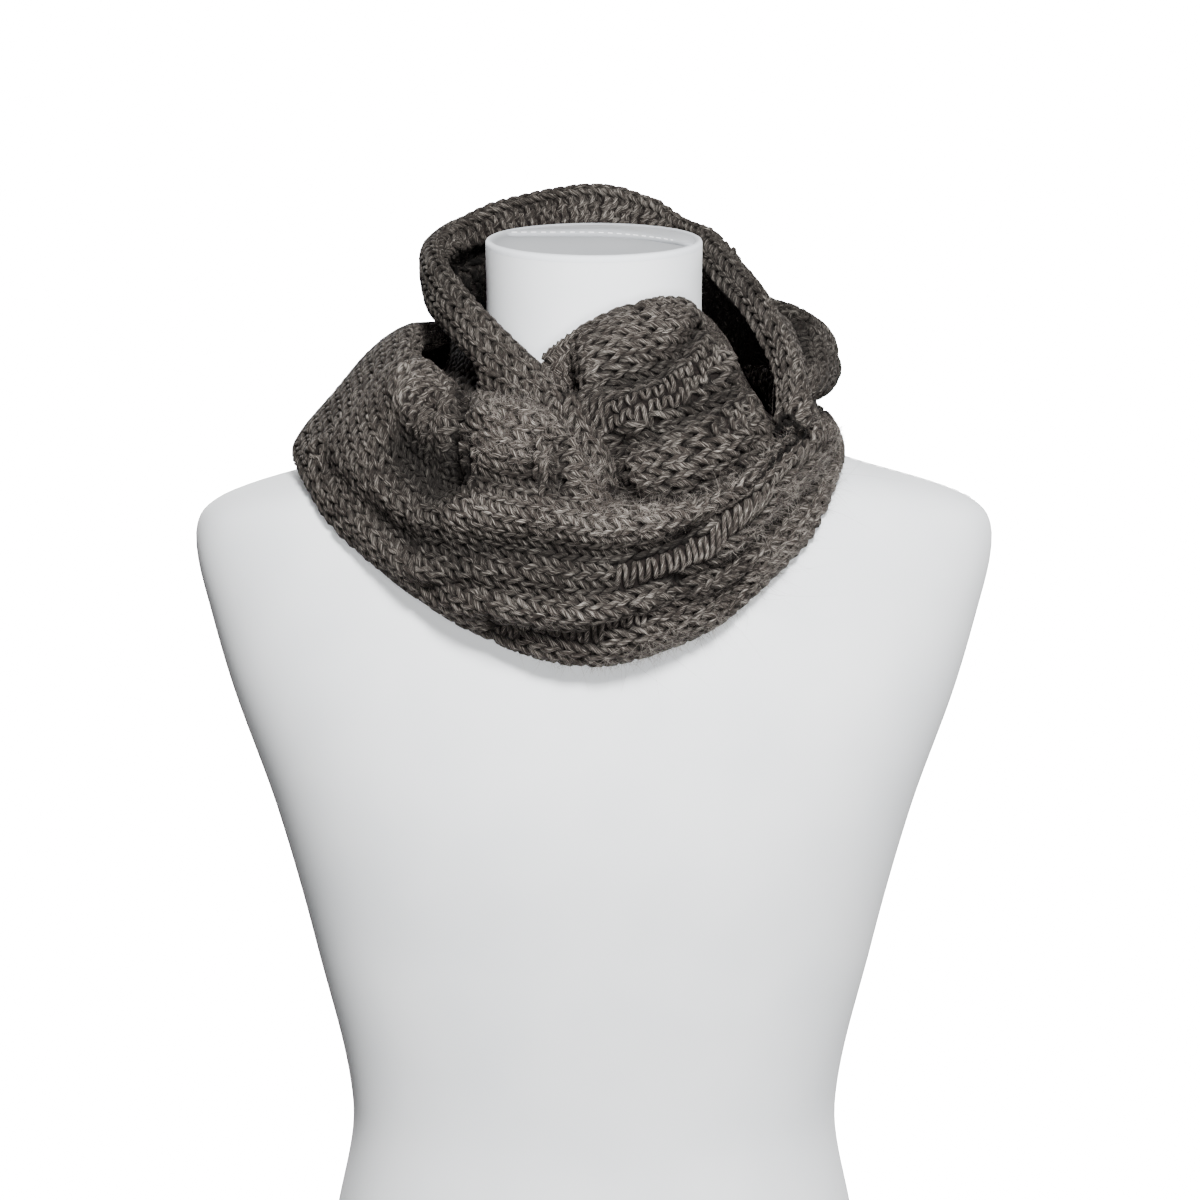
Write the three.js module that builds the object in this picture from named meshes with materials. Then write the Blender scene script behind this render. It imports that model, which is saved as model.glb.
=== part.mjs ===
// An infinity scarf, hand knitted in thick yarn, wound twice round the neck of a limbless dress form.
// Millimetres. The form stands on the plane z = 0 and faces -y, and the neck's axis is x = y = 0.
// Angles go round that axis in degrees: 0 is the front, 90 is +x, -90 is -x and 180 is the back.
import * as THREE from 'three';

// Driving sizes of the cloth.
const WALL = 4.5;
const ROLL_WALL = WALL / 2;

// Driving sizes of the dress form's neck cap, which lies on the neck's end with a fine seam between.
const SEAM_GAP = 0.3;
const CAP_THICKNESS = 4;
const CAP_EDGE = 2;
const CAP_RIM = 8;
const CAP_DISH = 1.5;

const CLOTH_COLOR = 0x6b625b;
const CLOTH_ROUGHNESS = 0.95;
const COVER_COLOR = 0xeceef0;
const COVER_ROUGHNESS = 0.85;

// The form's level sections, each a row that starts with its height. front and back are depths from
// the neck's axis. slant is how far the section rises for each millimetre towards the back. power is
// the superellipse's, 2 for an ellipse.
const FORM_COLUMNS = ['half_width', 'front', 'back', 'slant', 'power'];
const FORM_SECTIONS = [
  [0, 160, 103, 112, 0, 2.3],
  [60, 166, 108, 118, 0, 2.3],
  [130, 152, 104, 106, 0, 2.3],
  [195, 142, 100, 96, 0, 2.3],
  [290, 162, 112, 98, 0, 2.3],
  [372, 184, 122, 104, 0, 2.3],
  [440, 208, 116, 110, 0, 2.3],
  [485, 221, 103, 110, 0, 2.3],
  [520, 229, 90, 105, 0, 2.3],
  [540, 227, 81, 99, 0, 2.3],
  [551, 215, 76, 94, 0, 2.25],
  [560, 192, 72, 88, 0.01, 2.2],
  [571, 153, 69, 81, 0.03, 2.1],
  [585, 111, 67, 73, 0.06, 2.05],
  [600, 80, 64.5, 66, 0.12, 2],
  [618, 66, 62.5, 61, 0.18, 2],
  [650, 62, 61, 59, 0.19, 2],
  [694, 62, 61, 59, 0.19, 2],
];

// Each stretch of the scarf has a table with a row for each section. The first column is the
// section's angle, and after it each named line of the cloth has its radius and its height.
// Everything is measured on the outer face, from the edge at the top to the edge below. degree_length
// and line_length are about how many millimetres a degree and a line's distance are on that cloth.
const DRAPE = {
  lines: ['tuck', 'lip', 'slope', 'ridge_1', 'ridge_2', 'ridge_3', 'hem', 'under'],
  closed: true,
  degree_length: 2.5,
  line_length: 20,
  sections: [
    [-180, 111, 640, 114, 652, 126, 649, 142, 632, 152, 608, 155, 584, 149, 560, 122, 552],
    [-145, 110, 638, 113, 650, 127, 645, 145, 628, 157, 606, 161, 584, 157, 562, 137, 557],
    [-110, 101, 636, 104, 648, 121, 644, 140, 628, 154, 605, 165, 589, 168, 576, 156, 573],
    [-90, 99, 635, 102, 647, 117, 640, 134, 625, 151, 606, 166, 589, 171, 578, 160, 574],
    [-72, 103, 627, 107, 636, 121, 627, 140, 607, 155, 588, 165, 574, 169, 563.4, 162, 560.3],
    [-64, 106, 623, 110, 631, 125, 621, 144, 597, 157, 577, 163, 560, 163, 543, 155, 543],
    [-55, 108, 618, 112, 626, 128, 614, 147, 585, 156, 562, 158, 542, 152, 524, 143, 524],
    [-40, 109, 608, 114, 616, 133, 602, 150, 562, 153, 524, 148, 509, 137, 499, 124, 502],
    [-23, 117, 600, 122, 609, 139, 594, 149, 556, 152, 519, 148, 499, 129, 480, 114, 485],
    [-10, 122, 590, 128, 602, 143, 586, 151, 557, 153, 520, 150, 496, 129, 472, 112, 478],
    [-3, 129, 573, 136, 583, 145, 570, 151, 552, 154, 519, 151, 495, 128, 470, 111, 476],
    [3, 137, 551, 142, 559, 147, 553, 152, 545, 154, 519, 151, 495, 128, 470, 111, 476],
    [15, 141, 546, 146, 554, 150, 551, 153, 543, 153, 520, 149, 499, 128, 476, 112, 481],
    [30, 147, 558, 152, 566, 155, 561, 155, 552, 150, 532, 145, 511, 131, 489, 117, 492],
    [42, 149, 580, 154, 588, 156, 582, 154, 573, 148, 552, 143, 531, 135, 508, 124, 510],
    [55, 139, 593, 145, 600, 150, 595, 151, 585, 147, 567, 145, 550, 143.5, 533, 137.6, 535],
    [63, 130, 595, 136, 602, 143, 598, 147, 589, 146, 575, 146, 563, 144.5, 551, 141.5, 554],
    [70, 122, 596, 128, 603, 136, 600, 142, 592, 144, 583, 145, 576, 145, 568, 140, 570],
    [90, 108, 597, 114, 604, 124, 602, 132, 598, 137, 592, 140, 587, 141, 580, 133, 582],
    [115, 107, 613, 112, 622, 125, 619, 139, 610, 147, 598, 150, 587, 149, 575, 139, 574],
    [145, 108, 633, 113, 644, 126, 641, 142, 627, 152, 606, 156, 583, 151, 560, 131, 554],
    [180, 111, 640, 114, 652, 126, 649, 142, 632, 152, 608, 155, 584, 149, 560, 122, 552],
  ],
};

const COLLAR = {
  lines: ['inner', 'top', 'out', 'middle', 'low', 'end'],
  closed: false,
  degree_length: 1.7,
  line_length: 18,
  sections: [
    [-239.6, 67, 689, 74, 703, 83, 701, 97, 688, 104.5, 662, 101.5, 622],
    [-219, 69, 697, 79, 711, 88, 708, 99, 694, 105.5, 667, 104, 633],
    [-205, 70, 704, 82, 722, 91, 719, 99, 700, 106, 674, 109.6, 646],
    [-180, 70, 707, 83, 731, 92, 727, 100, 706, 107, 678, 111.2, 647],
    [-145, 76, 702, 90, 722, 99, 718, 105, 699, 108, 675, 110, 646],
    [-127, 89, 696, 96, 711, 105, 706, 107, 688, 106, 668, 104, 643],
    [-107, 88, 685, 94, 699, 103, 694, 102, 677, 93, 657, 89, 636],
    [-90, 83, 675, 88, 689, 96, 684, 96, 664, 87, 645, 86, 622],
    [-70, 77, 661, 83, 674, 91, 670, 93, 654, 87, 634, 92, 608],
    [-50, 73, 642, 79, 655, 88, 652, 92, 638, 92, 619, 98, 598],
    [-32, 72, 622, 79, 637, 89, 635, 99, 622, 104, 606, 107, 588],
    [-18, 77, 608, 84, 623, 94, 622, 106, 611, 114, 594, 116, 574],
    [-9, 83, 601, 91, 615, 101, 613, 111, 601, 119, 582, 121, 564],
  ],
};

const SHOULDER = {
  lines: ['inner', 'top', 'out', 'valley', 'crest', 'side', 'under', 'end'],
  closed: false,
  degree_length: 1.9,
  line_length: 16,
  sections: [
    [44, 138, 592.5, 145, 602, 153, 602, 156, 599, 158, 596, 158, 593, 154, 593, 148, 593.5],
    [49, 133, 602, 140, 612, 148, 611, 152, 608, 154, 604, 154, 599, 151, 598, 145, 598],
    [55, 121, 624, 127, 635, 133, 633, 136, 628, 139, 621, 141, 612, 140, 605, 132, 604],
    [61, 105, 641, 112, 652, 118, 649, 124, 641, 132, 633, 139, 622, 140, 611, 130, 606.5],
    [70, 88, 656, 95, 668, 102, 665, 110, 653, 123, 645, 137, 629, 138, 613, 124, 606],
    [80, 76, 664, 84, 677, 92, 674, 101, 659, 120, 651, 137, 634, 138, 615, 118, 607],
    [90, 68, 673, 75, 686, 84, 683, 95, 667, 118, 658, 139, 639, 139, 619, 115, 608],
    [99, 65, 679, 72, 692, 81, 689, 92, 675, 113, 659, 136, 643, 136, 625, 113, 615],
    [108, 64, 684, 70, 697, 79, 695, 91, 678, 106, 660, 123, 647, 125, 635, 110, 626],
    [119.2, 67.5, 690, 73.5, 703, 82.5, 701, 92, 691, 100, 679, 105, 661, 105.5, 644, 102, 624],
  ],
};

const NECK_WRAP = {
  lines: ['inner', 'top', 'fold_1', 'crease_1', 'crease_2', 'low', 'end'],
  closed: false,
  degree_length: 1.9,
  line_length: 24,
  sections: [
    [-22, 64.5, 622, 70, 632, 72, 626, 72, 618, 72.5, 610, 73.5, 602, 75, 594],
    [-12, 65, 630, 71, 641, 74, 634, 74, 620, 75, 606, 78, 592, 82, 580],
    [-8.5, 65, 633, 72, 644, 76, 636, 79, 618, 84, 600, 89, 584, 93, 570],
    [-3, 65, 638, 73, 648, 87, 639, 101, 617, 109, 594, 113, 572, 115, 552],
    [4.5, 65, 642, 72.5, 653, 90, 644, 106, 619, 116, 596, 119.5, 572, 120, 550],
    [12, 65, 645, 72, 657, 90, 648, 109, 623, 127, 598, 136, 570, 137, 547],
    [28, 66, 650, 74, 662, 90, 653, 104, 637, 125, 614, 141, 587, 144.5, 557],
    [42, 65, 649, 71, 662, 83, 657, 94, 647, 118, 627, 134, 603, 143, 577],
    [50, 65, 646, 70, 658, 78, 651, 85, 636, 93, 617, 110, 599, 132, 584],
    [60, 65, 641, 70, 653, 76, 646, 80, 632, 86, 616, 98, 602, 118, 592],
    [80, 65, 632, 70, 644, 75, 640, 79, 630, 84, 618, 92, 606, 100, 597],
    [110, 65, 632, 70, 644, 75, 641, 80, 632, 86, 622, 91, 612, 94, 604],
    [145, 65, 634, 70, 646, 75, 643, 80, 635, 85, 625, 89, 617, 91, 609],
  ],
};

// Folds are soft ridges and creases. Each follows a path of [angle, across] points, where across
// counts the stretch's lines from 0. rise is in millimetres, below 0 for a crease, and half_width
// is how far from the path the fold has faded to about a third.
const DRAPE_FOLDS = [
  { name: 'crease under ridge 1', rise: -8, half_width: 6.5,
    path: [
      [-68, 4.6], [-54, 4.4], [-44, 3.83], [-36, 3.65],
      [-20, 3.62], [-3, 3.68], [12, 3.53], [20, 3.3],
    ] },
  { name: 'crease under ridge 1 at the right', rise: -4.5, half_width: 11,
    path: [[20, 3.3], [27, 2.75], [35, 2.15], [44, 1.8], [56, 1.8], [75, 2]] },
  { name: 'ridge 1', rise: 3, half_width: 9,
    path: [[-36, 3.1], [-19, 3.15], [-7, 3.2], [5, 3.08], [13, 2.7]] },
  { name: 'crease under ridge 2', rise: -6.5, half_width: 6.5,
    path: [
      [-38, 4.95], [-32, 4.35], [-20, 4.4], [-3, 4.35], [11, 4.33],
      [20, 4.38], [31, 4.53], [42, 4.67], [56, 4.5], [75, 4.5],
    ] },
  { name: 'gutter over the lowest rib', rise: -5, half_width: 5.5,
    path: [[-24, 5.5], [-19, 5.53], [-8, 5.48], [1, 5.33], [10, 5.12], [18, 4.98], [24, 5.15], [36, 5.4]] },
  { name: 'crease between the two left blocks', rise: -10, half_width: 7,
    path: [[-39, 0.9], [-35, 1.4], [-33, 2], [-32, 2.6]] },
  { name: 'inner left block', rise: 6, half_width: 13,
    path: [[-22, 2.05], [-17, 2.05]] },
  { name: 'outer left block', rise: 7, half_width: 11,
    path: [[-53, 1.5], [-49, 2]] },
  { name: 'pocket under the outer block', rise: -11, half_width: 8.5,
    path: [[-49, 2.75], [-42, 2.75], [-37, 2.8]] },
  { name: 'crease below the inner block', rise: -8, half_width: 5.5,
    path: [[-37, 2.85], [-27, 2.75], [-15, 2.72], [-8, 2.7]] },
  { name: 'hollow beside the rolled end', rise: -6, half_width: 6,
    path: [[-7, 1.6], [-7, 2.3], [-4, 2.8]] },
  { name: 'right shoulder crease', rise: -5, half_width: 7,
    path: [[75, 3.2], [95, 3.1], [125, 3.3]] },
  { name: 'upper back crease', rise: -6, half_width: 9,
    path: [[128, 2.6], [155, 2.5], [182, 2.7], [205, 2.9]] },
  { name: 'lower back crease', rise: -6, half_width: 9,
    path: [[140, 4.2], [170, 4.4], [196, 4.2], [222, 4.4]] },
  { name: 'left back crease', rise: -5, half_width: 8,
    path: [[212, 3.4], [232, 3], [248, 3.1]] },
];

const COLLAR_FOLDS = [
  { name: 'hollow beside the drape', rise: -10, half_width: 9,
    path: [[-114, 4.45], [-92, 4.3], [-62, 4.05], [-48, 3.9]] },
  { name: 'back crease', rise: -5, half_width: 8,
    path: [[-215, 3.8], [-190, 3.5], [-160, 3.7], [-138, 3.5]] },
];
const SHOULDER_FOLDS = [
  { name: 'hollow inside the shoulder fold', rise: -8, half_width: 6.5,
    path: [[106, 3], [92, 3.05], [85, 3.2], [81, 3.8], [72, 4.2], [65, 4.4]] },
  { name: 'crease on the outer side', rise: -3, half_width: 6,
    path: [[104, 4.9], [92, 5.2], [80, 5.7]] },
];
const NECK_WRAP_FOLDS = [
  { name: 'crease under the first fold', rise: -7.5, half_width: 6,
    path: [[-8, 3.1], [7, 3], [19, 3.08], [30, 2.95], [40, 2.75], [52, 2.6]] },
  { name: 'crease under the second fold', rise: -7, half_width: 5.5,
    path: [[-4, 4.3], [6, 4.33], [15, 4.25], [23, 4.24], [31, 4.29], [46, 4.3]] },
  { name: 'hollow left of the third fold', rise: -5.5, half_width: 7,
    path: [[3, 4.7], [4, 5.3]] },
  { name: 'crease under the third fold', rise: -5, half_width: 6,
    path: [[4, 5.5], [12, 5.6], [24, 5.7], [38, 5.6]] },
];

// Ribs are the knit columns that stand out of the cloth's face and the purl bands that sink into it.
// They follow paths as folds do, but only the wall's outer points follow them.
const DRAPE_RIBS = [
  { name: 'lowest rib', rise: 1.5, half_width: 7,
    path: [[-26, 5.75], [0, 5.8], [24, 5.7]] },
  { name: 'purl band beside ridge 1', rise: -1.2, half_width: 6,
    path: [[6, 3.95], [20, 3.85], [27, 3.45], [36, 3.1], [56, 2.8]] },
  { name: 'knit block in the inner left block', rise: 1.5, half_width: 10,
    path: [[-22, 2.05], [-17, 2.05]] },
  { name: 'knit block in the outer left block', rise: 1.5, half_width: 9,
    path: [[-52, 1.6], [-50, 2]] },
];
const COLLAR_RIBS = [
  { name: 'edge rib', rise: 1, half_width: 5,
    path: [[-236, 1.2], [-180, 1.2], [-100, 1.2], [-20, 1.2]] },
];
const SHOULDER_RIBS = [
  { name: 'edge rib', rise: 1, half_width: 4,
    path: [[112, 1.3], [90, 1.3], [66, 1.3]] },
];
const NECK_WRAP_RIBS = [
  { name: 'purl band on the second fold', rise: -1.2, half_width: 6,
    path: [[-2, 3.7], [12, 3.65], [23, 3.6], [34, 3.35], [46, 3.3]] },
  { name: 'rib of the third fold', rise: 1.2, half_width: 4,
    path: [[10, 5], [22, 5], [34, 5]] },
];

// The rolled end of the collar, which goes down at the centre between the neck wrap and the drape.
// Each row starts with its height. swing is the angle of the roll's middle, radius the distance of its
// two edges from the neck's axis, reach its half width in degrees and rise how far its middle stands
// out. ROLL_CURL is how far each side turns from the middle, in degrees.
const ROLL_COLUMNS = ['swing', 'radius', 'reach', 'rise'];
const ROLL_SECTIONS = [
  [612, -8.5, 112, 4.4, 5],
  [602, -7.1, 117, 4.4, 6.5],
  [590, -4.2, 119, 4.55, 7.5],
  [578, -0.6, 121.4, 4.0, 7],
  [568, 1.0, 123.4, 3.4, 6.5],
  [558, 2.6, 126, 2.8, 5.5],
];
const ROLL_CURL = 115;

// Mesh steps. The cloth's stations are closer at the front, where its folds change fastest.
const FRONT_STEP = 3.2;
const SIDE_STEP = 7.5;
const FRONT_HALF_ANGLE = 60;
const FACE_STEP = 0.02;
const ROLL_DROPS = 10;
const ROLL_TURNS = 8;
const FORM_POINTS = 48;
const FORM_LEVELS = [
  0, 40, 85, 130, 175, 220, 265, 310, 350, 390, 425, 455, 485, 508, 526, 540, 551, 560, 571, 585, 600, 618, 650, 694,
];

// The places across each stretch that its mesh has a point at, closer together in the creases.
const DRAPE_ACROSS = [
  0, 0.6, 1, 1.4, 1.8, 2.15, 2.5, 2.75, 3, 3.3, 3.62, 3.9, 4.15, 4.4, 4.7, 5, 5.25, 5.5, 5.8, 6.2, 7,
];
const COLLAR_ACROSS = [0, 0.6, 1, 1.4, 1.9, 2.4, 2.8, 3.2, 3.6, 3.9, 4.2, 4.55, 5];
const SHOULDER_ACROSS = [0, 0.6, 1, 1.4, 2, 2.6, 3, 3.4, 3.8, 4.2, 4.7, 5.2, 5.7, 6.3, 7];
const NECK_WRAP_ACROSS = [0, 0.6, 1, 1.5, 2, 2.5, 2.8, 3.05, 3.35, 3.7, 4, 4.28, 4.6, 5, 5.35, 5.65, 6];

const radians = (degrees) => THREE.MathUtils.degToRad(degrees);
const named = (columns, row) => Object.fromEntries(columns.map((column, i) => [column, row[i]]));

// A smooth curve through rows of numbers at growing places: a cubic between each two rows, with the
// slope at a row taken from the rows on both sides of it.
function smoothRow(places, rows, place) {
  const last = places.length - 1;
  let i = 0;
  while (i < last - 1 && place >= places[i + 1]) {
    i += 1;
  }
  const span = places[i + 1] - places[i];
  const s = (place - places[i]) / span;
  const slope = (k, column) => {
    const before = Math.max(k - 1, 0);
    const after = Math.min(k + 1, last);
    return (rows[after][column] - rows[before][column]) / (places[after] - places[before]);
  };
  return rows[i].map((value, column) => {
    const next = rows[i + 1][column];
    const startSlope = slope(i, column) * span;
    const endSlope = slope(i + 1, column) * span;
    return (
      (2 * s ** 3 - 3 * s ** 2 + 1) * value
      + (s ** 3 - 2 * s ** 2 + s) * startSlope
      + (3 * s ** 2 - 2 * s ** 3) * next
      + (s ** 3 - s ** 2) * endSlope
    );
  });
}

// A closed stretch gets its neighbours from the other end, so that its curve joins up.
function sectionTable(stretch) {
  const rows = stretch.sections.map((section) => section.slice(1));
  const places = stretch.sections.map((section) => section[0]);
  if (stretch.closed) {
    const last = places.length - 1;
    return {
      places: [places[last - 1] - 360, ...places, places[1] + 360],
      rows: [rows[last - 1], ...rows, rows[1]],
    };
  }
  return { places, rows };
}

function polarPoint(angle, radius, height) {
  return new THREE.Vector3(radius * Math.sin(radians(angle)), -radius * Math.cos(radians(angle)), height);
}

// The cloth's smooth face, without its folds, at an angle and a place across its lines.
function smoothFace(table, lineCount, angle, across) {
  const row = smoothRow(table.places, table.rows, angle);
  const places = [];
  const points = [];
  for (let k = 0; k < lineCount; k += 1) {
    places.push(k);
    points.push([row[2 * k], row[2 * k + 1]]);
  }
  const [radius, height] = smoothRow(places, points, across);
  return polarPoint(angle, radius, height);
}

// How far a point is from a fold's path, in millimetres on the cloth.
function distanceToPath(path, angle, across, stretch) {
  const onCloth = (turn, line) => new THREE.Vector2(turn * stretch.degree_length, line * stretch.line_length);
  const point = onCloth(angle, across);
  let nearest = Infinity;
  for (let i = 0; i + 1 < path.length; i += 1) {
    const start = onCloth(...path[i]);
    const end = onCloth(...path[i + 1]);
    const run = end.clone().sub(start);
    const share = THREE.MathUtils.clamp(point.clone().sub(start).dot(run) / run.lengthSq(), 0, 1);
    nearest = Math.min(nearest, start.addScaledVector(run, share).distanceTo(point));
  }
  return nearest;
}

// How far all the folds or ribs together move the cloth outwards at a place.
function reliefHeight(folds, stretch, angle, across) {
  const turns = stretch.closed ? [-360, 0, 360] : [0];
  let height = 0;
  for (const fold of folds) {
    for (const turn of turns) {
      const distance = distanceToPath(fold.path, angle + turn, across, stretch);
      height += fold.rise * Math.exp(-((distance / fold.half_width) ** 2));
    }
  }
  return height;
}

// The face's outward direction, from two short steps on it.
function outward(face, angle, across, lastLine) {
  const low = Math.max(across - FACE_STEP, 0);
  const high = Math.min(across + FACE_STEP, lastLine);
  const around = face(angle + FACE_STEP, across).sub(face(angle - FACE_STEP, across));
  const down = face(angle, high).sub(face(angle, low));
  return down.cross(around).normalize();
}

// Joins rings of points into one closed body. The rings follow each other, and a ring's points go
// round the body. When the rings don't close on themselves, the two end rings are filled in, either
// by a strip between the ring's two halves or by a fan from the ring's middle.
function bodyFromRings(rings, closed, fill) {
  const size = rings[0].length;
  const corners = rings.flat();
  const triangles = [];
  const ringCount = closed ? rings.length : rings.length - 1;
  for (let i = 0; i < ringCount; i += 1) {
    const here = i * size;
    const next = ((i + 1) % rings.length) * size;
    for (let k = 0; k < size; k += 1) {
      const beside = (k + 1) % size;
      triangles.push(here + k, next + beside, next + k);
      triangles.push(here + k, here + beside, next + beside);
    }
  }
  if (!closed) {
    const lastRing = (rings.length - 1) * size;
    if (fill === 'strip') {
      for (let k = 0; k + 1 < size / 2; k += 1) {
        const far = size - 1 - k;
        triangles.push(k, far, k + 1, k + 1, far, far - 1);
        triangles.push(lastRing + k, lastRing + k + 1, lastRing + far);
        triangles.push(lastRing + k + 1, lastRing + far - 1, lastRing + far);
      }
    } else {
      for (const [start, flip] of [[0, false], [lastRing, true]]) {
        const middle = new THREE.Vector3();
        for (let k = 0; k < size; k += 1) {
          middle.addScaledVector(corners[start + k], 1 / size);
        }
        corners.push(middle);
        for (let k = 0; k < size; k += 1) {
          const beside = (k + 1) % size;
          const pair = flip ? [start + k, start + beside] : [start + beside, start + k];
          triangles.push(corners.length - 1, ...pair);
        }
      }
    }
  }
  const geometry = new THREE.BufferGeometry();
  const numbers = corners.flatMap((corner) => [corner.x, corner.y, corner.z]);
  geometry.setAttribute('position', new THREE.Float32BufferAttribute(numbers, 3));
  geometry.setIndex(triangles);
  geometry.computeVertexNormals();
  return geometry;
}

// Angles of the cross sections: close together at the front and wider apart round the sides and back.
function stations(first, last, closed) {
  const angles = [first];
  let angle = first;
  while (angle < last) {
    const folded = ((angle + 540) % 360) - 180;
    const atFront = folded >= -FRONT_HALF_ANGLE - SIDE_STEP / 2 && folded < FRONT_HALF_ANGLE;
    angle += atFront ? FRONT_STEP : SIDE_STEP;
    angles.push(Math.min(angle, last));
  }
  if (closed) {
    angles.pop();
  }
  return angles;
}

// One stretch of cloth. Its inside is the folded face moved in by the wall, and its outside is the
// same face with the ribs on it.
function clothStretch(stretch, folds, ribs, acrossPlaces) {
  const table = sectionTable(stretch);
  const lastLine = stretch.lines.length - 1;
  const smoothAt = (angle, across) => smoothFace(table, stretch.lines.length, angle, across);
  const foldedAt = (angle, across) => {
    const lift = reliefHeight(folds, stretch, angle, across);
    return smoothAt(angle, across).addScaledVector(outward(smoothAt, angle, across, lastLine), lift);
  };
  const first = stretch.sections[0][0];
  const last = stretch.sections[stretch.sections.length - 1][0];
  const rings = stations(first, last, stretch.closed).map((angle) => {
    const moved = (across, distance) => (
      foldedAt(angle, across).addScaledVector(outward(foldedAt, angle, across, lastLine), distance)
    );
    const outer = acrossPlaces.map((across) => moved(across, reliefHeight(ribs, stretch, angle, across)));
    const inner = acrossPlaces.map((across) => moved(across, -WALL));
    return [...outer, ...inner.reverse()];
  });
  return bodyFromRings(rings, stretch.closed, 'strip');
}

// The form's outline at a height, as a ring of points that slants with the neck.
function formRing(height, inset = 0) {
  const places = FORM_SECTIONS.map((section) => section[0]);
  const rows = FORM_SECTIONS.map((section) => section.slice(1));
  const section = named(FORM_COLUMNS, smoothRow(places, rows, height));
  const ring = [];
  for (let k = 0; k < FORM_POINTS; k += 1) {
    const turn = (k * 2 * Math.PI) / FORM_POINTS;
    const side = Math.sin(turn);
    const depth = -Math.cos(turn);
    const reach = depth < 0 ? section.front : section.back;
    const x = (section.half_width - inset) * Math.sign(side) * Math.abs(side) ** (2 / section.power);
    const y = (reach - inset) * Math.sign(depth) * Math.abs(depth) ** (2 / section.power);
    ring.push(new THREE.Vector3(x, y, height + section.slant * y));
  }
  return ring;
}

function torsoBody() {
  return bodyFromRings(FORM_LEVELS.map((level) => formRing(level)), false, 'fan');
}

// The cap is a thin panel on the neck's slanted end, with a soft edge and a slight dish.
function capBody() {
  const neckEnd = FORM_LEVELS[FORM_LEVELS.length - 1];
  const levels = [
    [SEAM_GAP, CAP_EDGE / 2],
    [SEAM_GAP + CAP_EDGE / 2, 0],
    [CAP_THICKNESS - CAP_EDGE / 2, 0],
    [CAP_THICKNESS, CAP_EDGE],
    [CAP_THICKNESS - CAP_DISH, CAP_RIM],
  ];
  const rings = levels.map(([lift, inset]) => {
    const ring = formRing(neckEnd, inset);
    ring.forEach((point) => {
      point.z += lift;
    });
    return ring;
  });
  return bodyFromRings(rings, false, 'fan');
}

// The roll's cross section is an arc that curls under at both sides. Its wall is half the others'.
function rollBody() {
  const places = ROLL_SECTIONS.map((section) => -section[0]);
  const rows = ROLL_SECTIONS.map((section) => section.slice(1));
  const face = (drop, across) => {
    const section = named(ROLL_COLUMNS, smoothRow(places, rows, drop));
    const turn = radians(ROLL_CURL * across);
    const angle = section.swing + section.reach * Math.sin(turn);
    return polarPoint(angle, section.radius + section.rise * Math.cos(turn), -drop);
  };
  const outwardAt = (drop, across) => {
    const along = face(drop + FACE_STEP, across).sub(face(drop - FACE_STEP, across));
    const over = face(drop, across + FACE_STEP).sub(face(drop, across - FACE_STEP));
    return along.cross(over).normalize();
  };
  const rings = [];
  for (let i = 0; i <= ROLL_DROPS; i += 1) {
    const drop = places[0] + ((places[places.length - 1] - places[0]) * i) / ROLL_DROPS;
    const outer = [];
    const inner = [];
    for (let k = 0; k <= ROLL_TURNS; k += 1) {
      const across = (2 * k) / ROLL_TURNS - 1;
      const point = face(drop, across);
      outer.push(point);
      inner.push(point.clone().addScaledVector(outwardAt(drop, across), -ROLL_WALL));
    }
    rings.push([...outer, ...inner.reverse()]);
  }
  return bodyFromRings(rings.reverse(), false, 'strip');
}

const object = new THREE.Group();

function addPiece(name, geometry, color, roughness) {
  const material = new THREE.MeshStandardMaterial({ color, roughness, metalness: 0 });
  const mesh = new THREE.Mesh(geometry, material);
  mesh.name = name;
  object.add(mesh);
}

const clothPiece = (name, geometry) => addPiece(name, geometry, CLOTH_COLOR, CLOTH_ROUGHNESS);

addPiece('form_torso', torsoBody(), COVER_COLOR, COVER_ROUGHNESS);
addPiece('form_neck_cap', capBody(), COVER_COLOR, COVER_ROUGHNESS);
clothPiece('scarf_drape', clothStretch(DRAPE, DRAPE_FOLDS, DRAPE_RIBS, DRAPE_ACROSS));
clothPiece('scarf_collar', clothStretch(COLLAR, COLLAR_FOLDS, COLLAR_RIBS, COLLAR_ACROSS));
clothPiece('scarf_shoulder_fold', clothStretch(SHOULDER, SHOULDER_FOLDS, SHOULDER_RIBS, SHOULDER_ACROSS));
clothPiece('scarf_neck_wrap', clothStretch(NECK_WRAP, NECK_WRAP_FOLDS, NECK_WRAP_RIBS, NECK_WRAP_ACROSS));
clothPiece('scarf_centre_roll', rollBody());

export default object;
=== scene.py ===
# %% [markdown]
# # A thick knitted infinity scarf on a white dress form
# The real scarf is one wide knitted ring, wound twice round the neck of a limbless dress form. The
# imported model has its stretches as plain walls. This script dresses them: each wall becomes a thin
# cloth with real loops of yarn on it, and the form gets its stretched jersey cover.

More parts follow.
